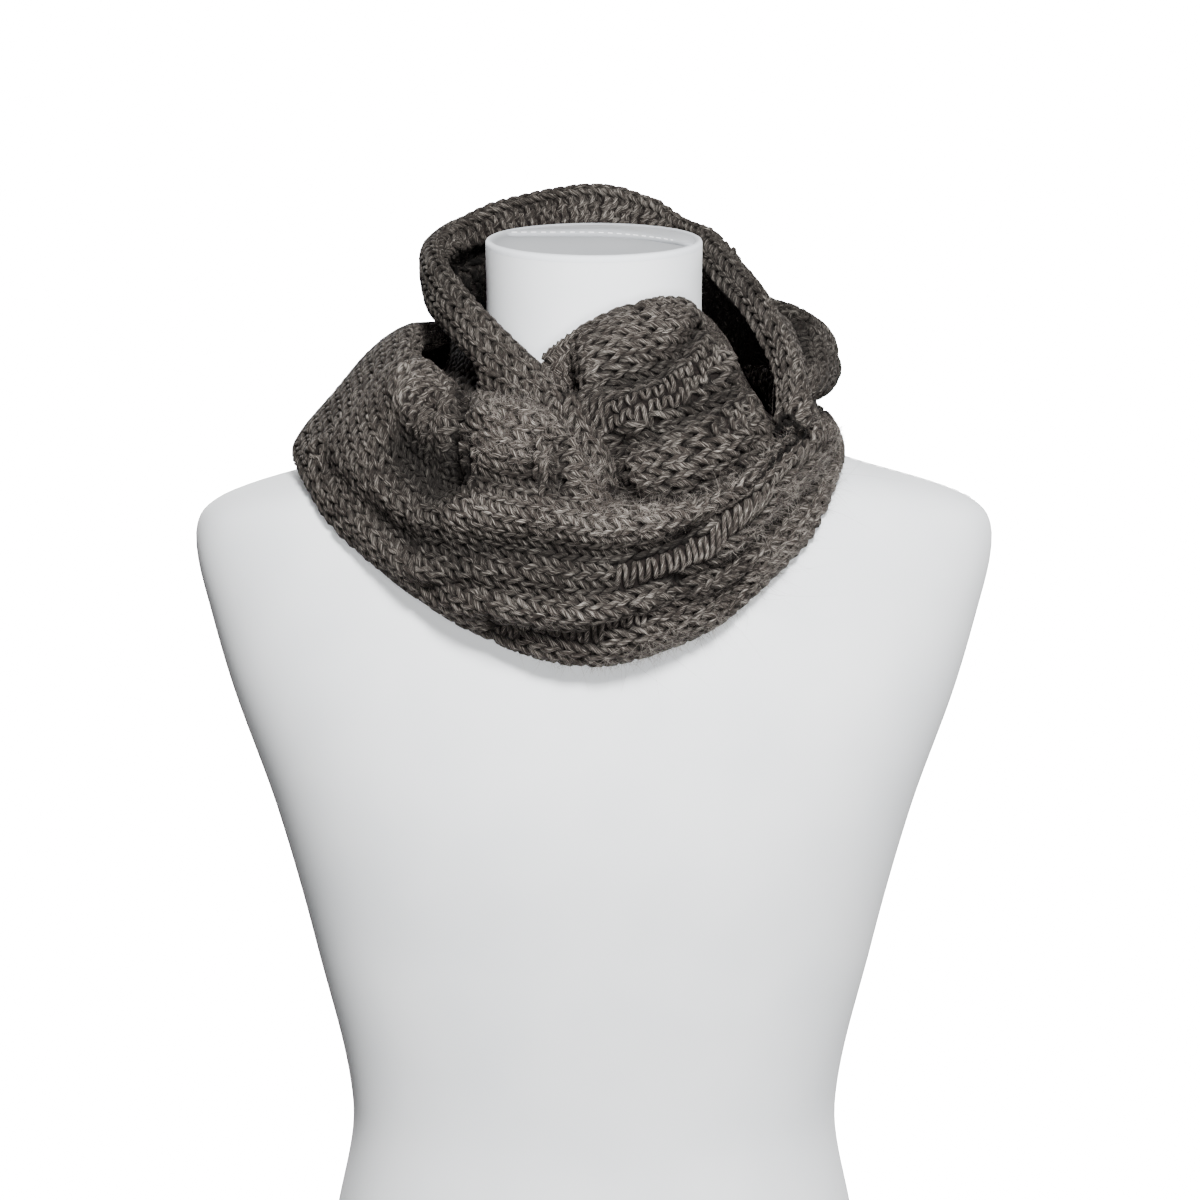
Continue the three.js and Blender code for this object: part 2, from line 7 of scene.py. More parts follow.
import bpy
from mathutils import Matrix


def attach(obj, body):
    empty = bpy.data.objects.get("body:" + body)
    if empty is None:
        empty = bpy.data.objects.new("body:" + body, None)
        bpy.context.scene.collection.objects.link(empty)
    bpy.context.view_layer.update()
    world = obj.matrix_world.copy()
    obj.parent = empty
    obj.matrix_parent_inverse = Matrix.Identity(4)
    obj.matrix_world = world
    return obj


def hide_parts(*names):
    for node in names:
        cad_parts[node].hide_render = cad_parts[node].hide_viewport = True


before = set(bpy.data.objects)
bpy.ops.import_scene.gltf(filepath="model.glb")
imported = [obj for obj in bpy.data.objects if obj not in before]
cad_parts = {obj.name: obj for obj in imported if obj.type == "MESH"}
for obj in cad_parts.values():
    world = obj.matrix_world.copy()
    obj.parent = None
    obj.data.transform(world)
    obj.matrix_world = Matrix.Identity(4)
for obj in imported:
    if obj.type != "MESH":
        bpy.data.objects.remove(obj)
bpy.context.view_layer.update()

# %% [markdown]
# ## Sizes that everything shares
# The tables below are in millimetres, because that is how a knitter and a form maker measure.
# Each mesh is turned into metres when it is made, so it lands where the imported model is.

# %% Shared sizes
import bpy
import numpy as np

MM = 0.001
WALL = 4.5
CLOTH_THICKNESS = 1.2
WALE_PITCH = 9.0
ROW_PITCH = 7.8
YARN_RADIUS = 2.05
chance = np.random.default_rng(7)

# %% [markdown]
# ## The photograph's viewpoint
# The camera stands about one and a half metres away, a little above the chest, and looks down by
# six degrees. Its lens is long enough that one pixel at the neck's axis is 0.58 mm.

# %% The camera
FRAME_PIXELS = 1200
PIXEL_SIZE = 0.58
DISTANCE = 1500.0
LOOK_DOWN = np.radians(6.0)
LOOK_HEIGHT = 490.0
AXIS_PIXEL = 594
SENSOR = 36.0

side_step = (FRAME_PIXELS / 2 - AXIS_PIXEL) * PIXEL_SIZE
camera_data = bpy.data.cameras.new("product_camera")
camera_data.sensor_width = SENSOR
camera_data.lens = DISTANCE / PIXEL_SIZE / FRAME_PIXELS * SENSOR
camera = bpy.data.objects.new("product_camera", camera_data)
camera.location = (side_step * MM, -DISTANCE * np.cos(LOOK_DOWN) * MM,
                   (LOOK_HEIGHT + DISTANCE * np.sin(LOOK_DOWN)) * MM)
camera.rotation_euler = (np.pi / 2 - LOOK_DOWN, 0, 0)
bpy.context.scene.collection.objects.link(camera)
bpy.context.scene.camera = camera
print("lens", round(camera_data.lens, 1), "mm, camera at",
      tuple(round(v, 3) for v in camera.location))

# %% [markdown]
# ## Smooth surfaces from short tables
# A pattern cutter draws a garment from a few measured sections and lets a smooth curve run through
# them. The cloth is made the same way here. Each row of a table is a section at one angle round the
# neck, and gives the radius and height of each named line of the cloth.

# %% A smooth curve through rows of numbers
def smooth_rows(places, rows, wanted):
    """Cubic curves through rows at growing places, read at the wanted places.

    Between two rows the value is (2s^3 - 3s^2 + 1) first + (s^3 - 2s^2 + s) span slope
    + (3s^2 - 2s^3) next + (s^3 - s^2) span next slope, where s goes from 0 to 1. The slope at a row
    is the difference of its two neighbours over the distance between them.
    """
    places = np.asarray(places, float)
    rows = np.asarray(rows, float)
    last = len(places) - 1
    before = np.maximum(np.arange(last + 1) - 1, 0)
    after = np.minimum(np.arange(last + 1) + 1, last)
    shape = (-1,) + (1,) * (rows.ndim - 1)
    slopes = (rows[after] - rows[before]) / (places[after] - places[before]).reshape(shape)
    i = np.clip(np.searchsorted(places, wanted, side="right") - 1, 0, last - 1)
    span = (places[i + 1] - places[i]).reshape(shape)
    s = (wanted - places[i]).reshape(shape) / span
    return ((2 * s**3 - 3 * s**2 + 1) * rows[i] + (s**3 - 2 * s**2 + s) * span * slopes[i]
            + (3 * s**2 - 2 * s**3) * rows[i + 1] + (s**3 - s**2) * span * slopes[i + 1])


# %% The scarf's sections
# After the angle, each pair is a line's radius and height, from the top edge to the one below. A fold
# is its rise, its half width and a path of (angle, line) places. A painted shade is (angle, share of light
# painted on the wool): the wool is darkened where less light falls.
DRAPE = {
    "closed": True, "degree_length": 2.5, "line_length": 20,
    "painted_shades": [(-180, 0.65), (-110, 0.58), (-60, 0.6), (-32, 0.75), (-10, 0.85),
        (12, 1.0), (40, 1.0), (75, 0.85), (180, 0.65)],
    "sections": [
        [-180, 111, 640, 114, 652, 126, 649, 142, 632, 152, 608, 155, 584, 149, 560, 122, 552],
        [-145, 110, 638, 113, 650, 127, 645, 145, 628, 157, 606, 161, 584, 157, 562, 137, 557],
        [-110, 101, 636, 104, 648, 121, 644, 140, 628, 154, 605, 165, 589, 168, 576, 156, 573],
        [-90, 99, 635, 102, 647, 117, 640, 134, 625, 151, 606, 166, 589, 171, 578, 160, 574],
        [-72, 103, 627, 107, 636, 121, 627, 140, 607, 155, 588, 165, 574, 169, 563.4, 162, 560.3],
        [-64, 106, 623, 110, 631, 125, 621, 144, 597, 157, 577, 163, 560, 163, 543, 155, 543],
        [-55, 108, 618, 112, 626, 128, 614, 147, 585, 156, 562, 158, 542, 152, 524, 143, 524],
        [-40, 109, 608, 114, 616, 133, 602, 150, 562, 153, 524, 148, 509, 137, 499, 124, 502],
        [-23, 117, 600, 122, 609, 139, 594, 149, 556, 152, 519, 148, 499, 129, 480, 114, 485],
        [-10, 122, 590, 128, 602, 143, 586, 151, 557, 153, 520, 150, 496, 129, 472, 112, 478],
        [-3, 129, 573, 136, 583, 145, 570, 151, 552, 154, 519, 151, 495, 128, 470, 111, 476],
        [3, 137, 551, 142, 559, 147, 553, 152, 545, 154, 519, 151, 495, 128, 470, 111, 476],
        [15, 141, 546, 146, 554, 150, 551, 153, 543, 153, 520, 149, 499, 128, 476, 112, 481],
        [30, 147, 558, 152, 566, 155, 561, 155, 552, 150, 532, 145, 511, 131, 489, 117, 492],
        [42, 149, 580, 154, 588, 156, 582, 154, 573, 148, 552, 143, 531, 135, 508, 124, 510],
        [55, 139, 593, 145, 600, 150, 595, 151, 585, 147, 567, 145, 550, 143.5, 533, 137.6, 535],
        [63, 130, 595, 136, 602, 143, 598, 147, 589, 146, 575, 146, 563, 144.5, 551, 141.5, 554],
        [70, 122, 596, 128, 603, 136, 600, 142, 592, 144, 583, 145, 576, 145, 568, 140, 570],
        [90, 108, 597, 114, 604, 124, 602, 132, 598, 137, 592, 140, 587, 141, 580, 133, 582],
        [115, 107, 613, 112, 622, 125, 619, 139, 610, 147, 598, 150, 587, 149, 575, 139, 574],
        [145, 108, 633, 113, 644, 126, 641, 142, 627, 152, 606, 156, 583, 151, 560, 131, 554],
        [180, 111, 640, 114, 652, 126, 649, 142, 632, 152, 608, 155, 584, 149, 560, 122, 552],
    ],
    "folds": [
        (-8, 6.5, [(-68, 4.6), (-54, 4.4), (-44, 3.83), (-36, 3.65),
            (-20, 3.62), (-3, 3.68), (12, 3.53), (20, 3.3)]),
        (-4.5, 11, [(20, 3.3), (27, 2.75), (35, 2.15), (44, 1.8), (56, 1.8), (75, 2)]),
        (3, 9, [(-36, 3.1), (-19, 3.15), (-7, 3.2), (5, 3.08), (13, 2.7)]),
        (-6.5, 6.5, [(-38, 4.95), (-32, 4.35), (-20, 4.4), (-3, 4.35), (11, 4.33),
            (20, 4.38), (31, 4.53), (42, 4.67), (56, 4.5), (75, 4.5)]),
        (-5, 5.5, [(-24, 5.5), (-19, 5.53), (-8, 5.48), (1, 5.33),
            (10, 5.12), (18, 4.98), (24, 5.15), (36, 5.4)]),
        (-10, 7, [(-39, 0.9), (-35, 1.4), (-33, 2), (-32, 2.6)]),
        (6, 13, [(-22, 2.05), (-17, 2.05)]),
        (7, 11, [(-53, 1.5), (-49, 2)]),
        (-11, 8.5, [(-49, 2.75), (-42, 2.75), (-37, 2.8)]),
        (-8, 5.5, [(-37, 2.85), (-27, 2.75), (-15, 2.72), (-8, 2.7)]),
        (-6, 6, [(-7, 1.6), (-7, 2.3), (-4, 2.8)]),
        (-5, 7, [(75, 3.2), (95, 3.1), (125, 3.3)]),
        (-6, 9, [(128, 2.6), (155, 2.5), (182, 2.7), (205, 2.9)]),
        (-6, 9, [(140, 4.2), (170, 4.4), (196, 4.2), (222, 4.4)]),
        (-5, 8, [(212, 3.4), (232, 3), (248, 3.1)]),
    ],
    "fine_folds": [
        (5, 4, [(-29, 2.68), (-30, 2.4), (-29, 2.08), (-26, 1.83),
            (-16, 1.6), (-11, 1.65), (-10, 2.2), (-11, 2.6)]),
        (5, 4, [(-56, 1.7), (-53, 2.2), (-48, 2.35), (-43, 2.2)]),
        (5, 6.5, [(-72, 4.7), (-68, 4.6), (-54, 4.4)]),
        (-4, 5, [(-52, 2.4), (-45, 2.2), (-42, 1.9)]),
    ],
}
COLLAR = {
    "closed": False, "degree_length": 1.7, "line_length": 18,
    "painted_shades": [(-241, 0.6), (-180, 0.6), (-120, 0.55), (-90, 0.45),
        (-60, 0.5), (-30, 0.62), (-9, 0.7)],
    "sections": [
        [-241, 67, 689, 74, 703, 83, 701, 97, 688, 104.5, 662, 101.5, 622],
        [-219, 69, 697, 79, 711, 88, 708, 99, 694, 105.5, 667, 104, 633],
        [-205, 70, 704, 82, 722, 91, 719, 99, 700, 106, 674, 109.6, 646],
        [-180, 70, 707, 83, 731, 92, 727, 100, 706, 107, 678, 111.2, 647],
        [-145, 76, 702, 90, 722, 99, 718, 105, 699, 108, 675, 110, 646],
        [-127, 89, 696, 96, 711, 105, 706, 107, 688, 106, 668, 104, 643],
        [-107, 88, 685, 94, 699, 103, 694, 102, 677, 93, 657, 89, 636],
        [-90, 83, 675, 88, 689, 96, 684, 96, 664, 87, 645, 86, 622],
        [-70, 77, 661, 83, 674, 91, 670, 93, 654, 87, 634, 92, 608],
        [-50, 73, 642, 79, 655, 88, 652, 92, 638, 92, 619, 98, 598],
        [-32, 72, 622, 79, 637, 89, 635, 99, 622, 104, 606, 107, 588],
        [-18, 77, 608, 84, 623, 94, 622, 106, 611, 114, 594, 116, 574],
        [-9, 83, 601, 91, 615, 101, 613, 111, 601, 119, 582, 121, 564],
    ],
    "folds": [
        (-10, 9, [(-114, 4.45), (-92, 4.3), (-62, 4.05), (-48, 3.9)]),
        (-5, 8, [(-215, 3.8), (-190, 3.5), (-160, 3.7), (-138, 3.5)]),
    ],
}
SHOULDER = {
    "closed": False, "degree_length": 1.9, "line_length": 16,
    "painted_shades": [(44, 0.8), (60, 0.55), (75, 0.4), (120, 0.42)],
    "sections": [
        [44, 138, 592.5, 145, 602, 153, 602, 156, 599, 158, 596, 158, 593, 154, 593, 148, 593.5],
        [49, 133, 602, 140, 612, 148, 611, 152, 608, 154, 604, 154, 599, 151, 598, 145, 598],
        [55, 121, 624, 127, 635, 133, 633, 136, 628, 139, 621, 141, 612, 140, 605, 132, 604],
        [61, 105, 641, 112, 652, 118, 649, 124, 641, 132, 633, 139, 622, 140, 611, 130, 606.5],
        [70, 88, 656, 95, 668, 102, 665, 110, 653, 123, 645, 137, 629, 138, 613, 124, 606],
        [80, 76, 664, 84, 677, 92, 674, 101, 659, 120, 651, 137, 634, 138, 615, 118, 607],
        [90, 68, 673, 75, 686, 84, 683, 95, 667, 118, 658, 139, 639, 139, 619, 115, 608],
        [99, 65, 679, 72, 692, 81, 689, 92, 675, 113, 659, 136, 643, 136, 625, 113, 615],
        [108, 64, 684, 70, 697, 79, 695, 91, 678, 106, 660, 123, 647, 125, 635, 110, 626],
        [120, 67.5, 690, 73.5, 703, 82.5, 701, 92, 691, 100, 679, 105, 661, 105.5, 644, 102, 624],
    ],
    "folds": [
        (-8, 6.5, [(106, 3), (92, 3.05), (85, 3.2), (81, 3.8), (72, 4.2), (65, 4.4)]),
        (-3, 6, [(104, 4.9), (92, 5.2), (80, 5.7)]),
    ],
}
NECK_WRAP = {
    "closed": False, "degree_length": 1.9, "line_length": 24,
    "painted_shades": [(-22, 0.74), (20, 0.72), (60, 0.65)],
    "sections": [
        [-22, 64.5, 622, 70, 632, 72, 626, 72, 618, 72.5, 610, 73.5, 602, 75, 594],
        [-12, 65, 630, 71, 641, 74, 634, 74, 620, 75, 606, 78, 592, 82, 580],
        [-8.5, 65, 633, 72, 644, 76, 636, 79, 618, 84, 600, 89, 584, 93, 570],
        [-3, 65, 638, 73, 648, 87, 639, 101, 617, 109, 594, 113, 572, 115, 552],
        [4.5, 65, 642, 72.5, 653, 90, 644, 106, 619, 116, 596, 119.5, 572, 120, 550],
        [12, 65, 645, 72, 657, 90, 648, 109, 623, 127, 598, 136, 570, 137, 547],
        [28, 66, 650, 74, 662, 90, 653, 104, 637, 125, 614, 141, 587, 144.5, 557],
        [42, 65, 649, 71, 662, 83, 657, 94, 647, 118, 627, 134, 603, 143, 577],
        [50, 65, 646, 70, 658, 78, 651, 85, 636, 93, 617, 110, 599, 132, 584],
        [60, 65, 641, 70, 653, 76, 646, 80, 632, 86, 616, 98, 602, 118, 592],
        [80, 65, 632, 70, 644, 75, 640, 79, 630, 84, 618, 92, 606, 100, 597],
        [110, 65, 632, 70, 644, 75, 641, 80, 632, 86, 622, 91, 612, 94, 604],
        [145, 65, 634, 70, 646, 75, 643, 80, 635, 85, 625, 89, 617, 91, 609],
    ],
    "folds": [
        (-7.5, 6, [(-8, 3.1), (7, 3), (19, 3.08), (30, 2.95), (40, 2.75), (52, 2.6)]),
        (-7, 5.5, [(-4, 4.3), (6, 4.33), (15, 4.25), (23, 4.24), (31, 4.29), (46, 4.3)]),
        (-5.5, 7, [(3, 4.7), (4, 5.3)]),
        (-5, 6, [(4, 5.5), (12, 5.6), (24, 5.7), (38, 5.6)]),
    ],
    "fine_folds": [
        (6, 6, [(-9, 3.1), (-3, 3.05)]),
        (5.5, 5.5, [(-6, 4.3), (2, 4.33)]),
    ],
}

# %% [markdown]
# ## From tables to folded cloth
# Folds are laid on the smooth face as soft ridges and creases that follow a path. Then the cloth is
# measured: a knitter counts columns of stitches, called wales, and rows, so the face is read by the
# distance across it from one wale, and no longer by the table's lines.

# %% The folded face
CREASE_SINK = 1.25


def path_distance(stretch, path, angles, across):
    """The distance in millimetres from each place to a path: the least over the path's straight runs
    of the distance to the run's nearest point. On a closed stretch the nearest turn counts."""
    scale = np.array([stretch["degree_length"], stretch["line_length"]])
    corners = np.array(path) * scale
    nearest = np.inf
    for turn in ((-360, 0, 360) if stretch["closed"] else (0,)):
        for start, end in zip(corners[:-1], corners[1:]):
            run = end - start
            dx = (angles + turn) * scale[0] - start[0]
            dy = across * scale[1] - start[1]
            share = np.clip((dx * run[0] + dy * run[1]) / (run @ run), 0, 1)
            nearest = np.minimum(nearest, np.hypot(dx - share * run[0], dy - share * run[1]))
    return nearest


def fold_height(stretch, angles, across):
    """How far the folds move each place outwards: the sum over folds of
    rise * exp(-(distance / width)^2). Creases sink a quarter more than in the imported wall, whose
    inner side has to stay clear of itself."""
    total = 0
    for rise, half_width, path in stretch["folds"] + stretch.get("fine_folds", []):
        distance = path_distance(stretch, path, angles[:, None], across[None, :])
        sink = CREASE_SINK if rise < 0 else 1
        total = total + sink * rise * np.exp(-((distance / half_width) ** 2))
    return total


def outward(face):
    """The unit vector across two grid directions: down the cloth times round the neck."""
    normal = np.cross(np.gradient(face, axis=1), np.gradient(face, axis=0))
    return normal / np.linalg.norm(normal, axis=-1, keepdims=True)


def table_face(stretch, angles, across):
    """A grid of points and outward vectors: smooth curves round the neck, then across the lines,
    with x = radius sin(angle), y = -radius cos(angle), and the folds added along the outward vector."""
    sections = np.array(stretch["sections"], float)
    places, rows = sections[:, 0], sections[:, 1:]
    if stretch["closed"]:
        places = np.concatenate([[places[-2] - 360], places, [places[1] + 360]])
        rows = np.concatenate([rows[-2:-1], rows, rows[1:2]])
    lines = smooth_rows(places, rows, angles).reshape(len(angles), -1, 2)
    curve = smooth_rows(np.arange(lines.shape[1]), lines.transpose(1, 0, 2), across)
    radius, height = curve.transpose(2, 1, 0)
    turn = np.radians(angles)[:, None]
    smooth = np.stack([radius * np.sin(turn), -radius * np.cos(turn), height], -1)
    face = smooth + outward(smooth) * fold_height(stretch, angles, across)[..., None]
    return face, outward(face)


# %% Measuring the cloth
ANGLE_STEP = 1.0
ACROSS_POINTS = 161
SPARE_MM = 3


def run_length(points):
    """The way gone along each line of points: the running sum of the lengths of its steps."""
    steps = np.linalg.norm(np.diff(points, axis=-2), axis=-1)
    return np.concatenate([np.zeros(steps.shape[:-1] + (1,)), np.cumsum(steps, axis=-1)], axis=-1)


def whole_millimetres(length):
    """Every whole millimetre from a little before the least length to a little past the greatest."""
    return np.arange(np.floor(length.min()) - SPARE_MM, np.ceil(length.max()) + SPARE_MM + 1)


def read_at(distance, length, grid):
    """Reads each row of a grid at the wanted distances, in between its own points."""
    if grid.ndim == 3:
        return np.stack([read_at(distance, length, grid[..., axis]) for axis in range(3)], -1)
    return np.array([np.interp(distance, row, values) for row, values in zip(length, grid)])


def unit(vectors):
    """Vectors over their own lengths."""
    return vectors / np.linalg.norm(vectors, axis=-1, keepdims=True)


def measure_cloth(stretch, reference_line):
    """Reads the folded face on an even grid of angle and distance across, in whole millimetres.

    The distance runs down the cloth from the reference line: at each angle it is the summed length
    of the short steps across, less its value at that line.
    """
    first, last = stretch["sections"][0][0], stretch["sections"][-1][0]
    count = int(round((last - first) / ANGLE_STEP))
    step = (last - first) / count
    margin = 2 if stretch["closed"] else 0
    angles = first + step * np.arange(-margin, count + 1 + margin)
    line_count = (len(stretch["sections"][0]) - 1) // 2
    across = np.linspace(0, line_count - 1, ACROSS_POINTS)
    face, normal = table_face(stretch, angles, across)
    relief = fold_height(stretch, angles, across)
    if margin:
        face, normal, angles = face[margin:-margin], normal[margin:-margin], angles[margin:-margin]
        relief = relief[margin:-margin]
    length = run_length(face)
    length -= np.array([np.interp(reference_line, across, row) for row in length])[:, None]
    distance = whole_millimetres(length)
    normals = read_at(distance, length, normal)
    return {
        "stretch": stretch, "closed": stretch["closed"], "painted_shades": stretch["painted_shades"],
        "first": first, "step": step, "angles": angles, "distance": distance, "length": length,
        "points": read_at(distance, length, face) - normals * WALL / 2, "normals": normals,
        "across_at": read_at(distance, length, np.broadcast_to(across, length.shape)),
        "relief_at": read_at(distance, length, relief),
        "low": length[:, 0], "high": length[:, -1], "face": face, "face_normals": normal}


def read_grid(grid, rows, columns):
    """Reads a grid between its points, in proportion to how near each of the four around is."""
    rows = np.clip(rows, 0, grid.shape[0] - 1.000001)
    columns = np.clip(columns, 0, grid.shape[1] - 1.000001)
    i, j = rows.astype(int), columns.astype(int)
    a, b = rows - i, columns - j
    if grid.ndim == 3:
        a, b = a[..., None], b[..., None]
    return ((1 - a) * ((1 - b) * grid[i, j] + b * grid[i, j + 1])
            + a * ((1 - b) * grid[i + 1, j] + b * grid[i + 1, j + 1]))


def grid_place(cloth, angle):
    """Where an angle lies on the measured grid. Round a closed stretch it starts again at 360."""
    place = angle - cloth["first"]
    if cloth["closed"]:
        place = place % 360
    return place / cloth["step"]


# %% [markdown]
# ## Rows of knitting
# Wales run round the neck, so a row of knitting crosses the cloth. On a slope the rows lean, because
# they stay nearly square to the wales. Each row is traced from the measuring line in small steps.

# %% Tracing the rows
ROW_LEAN = 0.7
LEAN_SPREAD = 6
LEAN_LIMIT = 1.2


def running_mean(grid, axis, reach, closed):
    """The mean of each place and its neighbours up to a reach on both sides, along one axis."""
    pad = [(0, 0), (0, 0)]
    pad[axis] = (reach, reach)
    padded = np.pad(grid, pad, mode="wrap" if closed else "edge")
    sums = np.cumsum(np.insert(padded, 0, 0, axis=axis), axis=axis)
    span = 2 * reach + 1
    size = grid.shape[axis]
    ahead, behind = np.take(sums, range(span, size + span), axis), np.take(sums, range(size), axis)
    return (ahead - behind) / span


def trace_rows(cloth, gauge_distance):
    """The angle of each row at each whole millimetre across, in knitting order: high angles first.

    The rows start a row's pitch apart along the gauge distance. From there each step across changes
    the angle by -lean * (across . along) / (along . along), which keeps the row nearly square.
    """
    points, distance = cloth["points"], cloth["distance"]
    gauge = int(np.argmin(np.abs(distance - gauge_distance)))
    length = run_length(points[:, gauge])
    count = int(round(length[-1] / ROW_PITCH))
    starts = np.interp(np.arange(count) / count * length[-1], length, cloth["angles"])[::-1]
    along = np.gradient(points, axis=0) / cloth["step"]
    across = np.gradient(points, axis=1)
    lean = -ROW_LEAN * (across * along).sum(-1) / (along * along).sum(-1)
    lean = running_mean(running_mean(lean, 0, LEAN_SPREAD, cloth["closed"]), 1, LEAN_SPREAD, False)
    angle = np.empty((count, len(distance)))
    angle[:, gauge] = starts
    for direction in (1, -1):
        k = gauge
        while 0 <= k + direction < len(distance):
            slope = read_grid(lean, grid_place(cloth, angle[:, k]), np.full(count, float(k)))
            slope = np.clip(slope, -LEAN_LIMIT, LEAN_LIMIT)
            angle[:, k + direction] = angle[:, k] + direction * slope
            k += direction
    return angle


# %% [markdown]
# ## Knit and purl
# A knit stitch shows the two legs of its loop as a V. A purl stitch shows the loop's head and foot as
# bars. The scarf has broad knit panels with narrow purl bands in the creases, and the bands start and
# stop in blocks. Knit panels stand a little proud of purl bands, as real ribs do.

# %% The stitch pattern
PATTERN_RELIEF = 1.0


def in_bands(cloth, row_angle, wales, bands):
    """Which stitches lie in any of the bands. A band is a half width and a path of (angle, across)
    places, and a stitch is in it when its middle is nearer to the path than that."""
    row, column = np.broadcast_arrays(np.arange(len(row_angle))[:, None],
                                      wales * WALE_PITCH - cloth["distance"][0])
    place = grid_place(cloth, read_grid(row_angle, row, column))
    across = read_grid(cloth["across_at"], place, column)
    angle = cloth["first"] + cloth["step"] * place
    inside = np.zeros(across.shape, bool)
    for half_width, path in bands:
        inside |= path_distance(cloth["stretch"], path, angle, across) < half_width
    return inside


def soften(kinds):
    """Averages each stitch with its neighbours, twice across the wales and once along the rows."""
    soft = np.pad(kinds, ((1, 1), (2, 2)), mode="edge")
    soft = (soft[:, :-2] + 2 * soft[:, 1:-1] + soft[:, 2:]) / 4
    soft = (soft[:, :-2] + 2 * soft[:, 1:-1] + soft[:, 2:]) / 4
    return (soft[:-2] + 2 * soft[1:-1] + soft[2:]) / 4


# %% [markdown]
# ## The path of the yarn
# One strand of yarn crosses the whole cloth in each row. In every stitch it goes up one leg, over the
# loop's head and down the other leg, and the next row's loop comes up through that head. A known set
# of waves gives this path, and because each row really goes through the last, light and shade fall
# between the loops as they do on the real thing.

# %% Yarn centre lines
SAMPLES_PER_STITCH = 12
HEAD_SPREAD = 0.33
LOOP_REACH = 0.92
LOOP_DEPTH = 1.9
LOOP_UNEVEN = 0.07
DRIFT_STEP = 0.05
DRIFT_LIMIT = 0.2
EDGE_ROOM = 0.5
SPARE_ROWS = 3
LOOP_SHADE = 0.85
SHADE_POWER = 1.6
CREASE_SHADE = 0.8
CREASE_DEPTH = 10.0
CREST_LIGHT = 0.2
CREST_HEIGHT = 7.0


def wale_range(cloth):
    """The numbers of the wales that lie on the cloth anywhere along it."""
    first = int(np.ceil(cloth["low"].min() / WALE_PITCH))
    return np.arange(first, int(np.floor(cloth["high"].max() / WALE_PITCH)) + 1)


def spare_rows(cloth, row_angle):
    """The rows' angles with three more on each side: the same rows again where the stretch is closed,
    and else rows as far apart as the last two."""
    if cloth["closed"]:
        return np.concatenate([row_angle[-SPARE_ROWS:] + 360, row_angle, row_angle[:SPARE_ROWS] - 360])
    count = np.arange(1, SPARE_ROWS + 1)[:, None]
    ahead = row_angle[0] + (row_angle[0] - row_angle[1]) * count[::-1]
    behind = row_angle[-1] + (row_angle[-1] - row_angle[-2]) * count
    return np.concatenate([ahead, row_angle, behind])


def painted_region_shade(cloth, place):
    """Painted shade along the stretch: read in between the (angle, share) pairs of its table.
    The shares are matched against the photograph, and are painted shade for less light falling there, not
    a dye."""
    angles, painted_shades = np.array(cloth["painted_shades"], float).T
    return np.interp(cloth["first"] + cloth["step"] * place, angles, painted_shades)


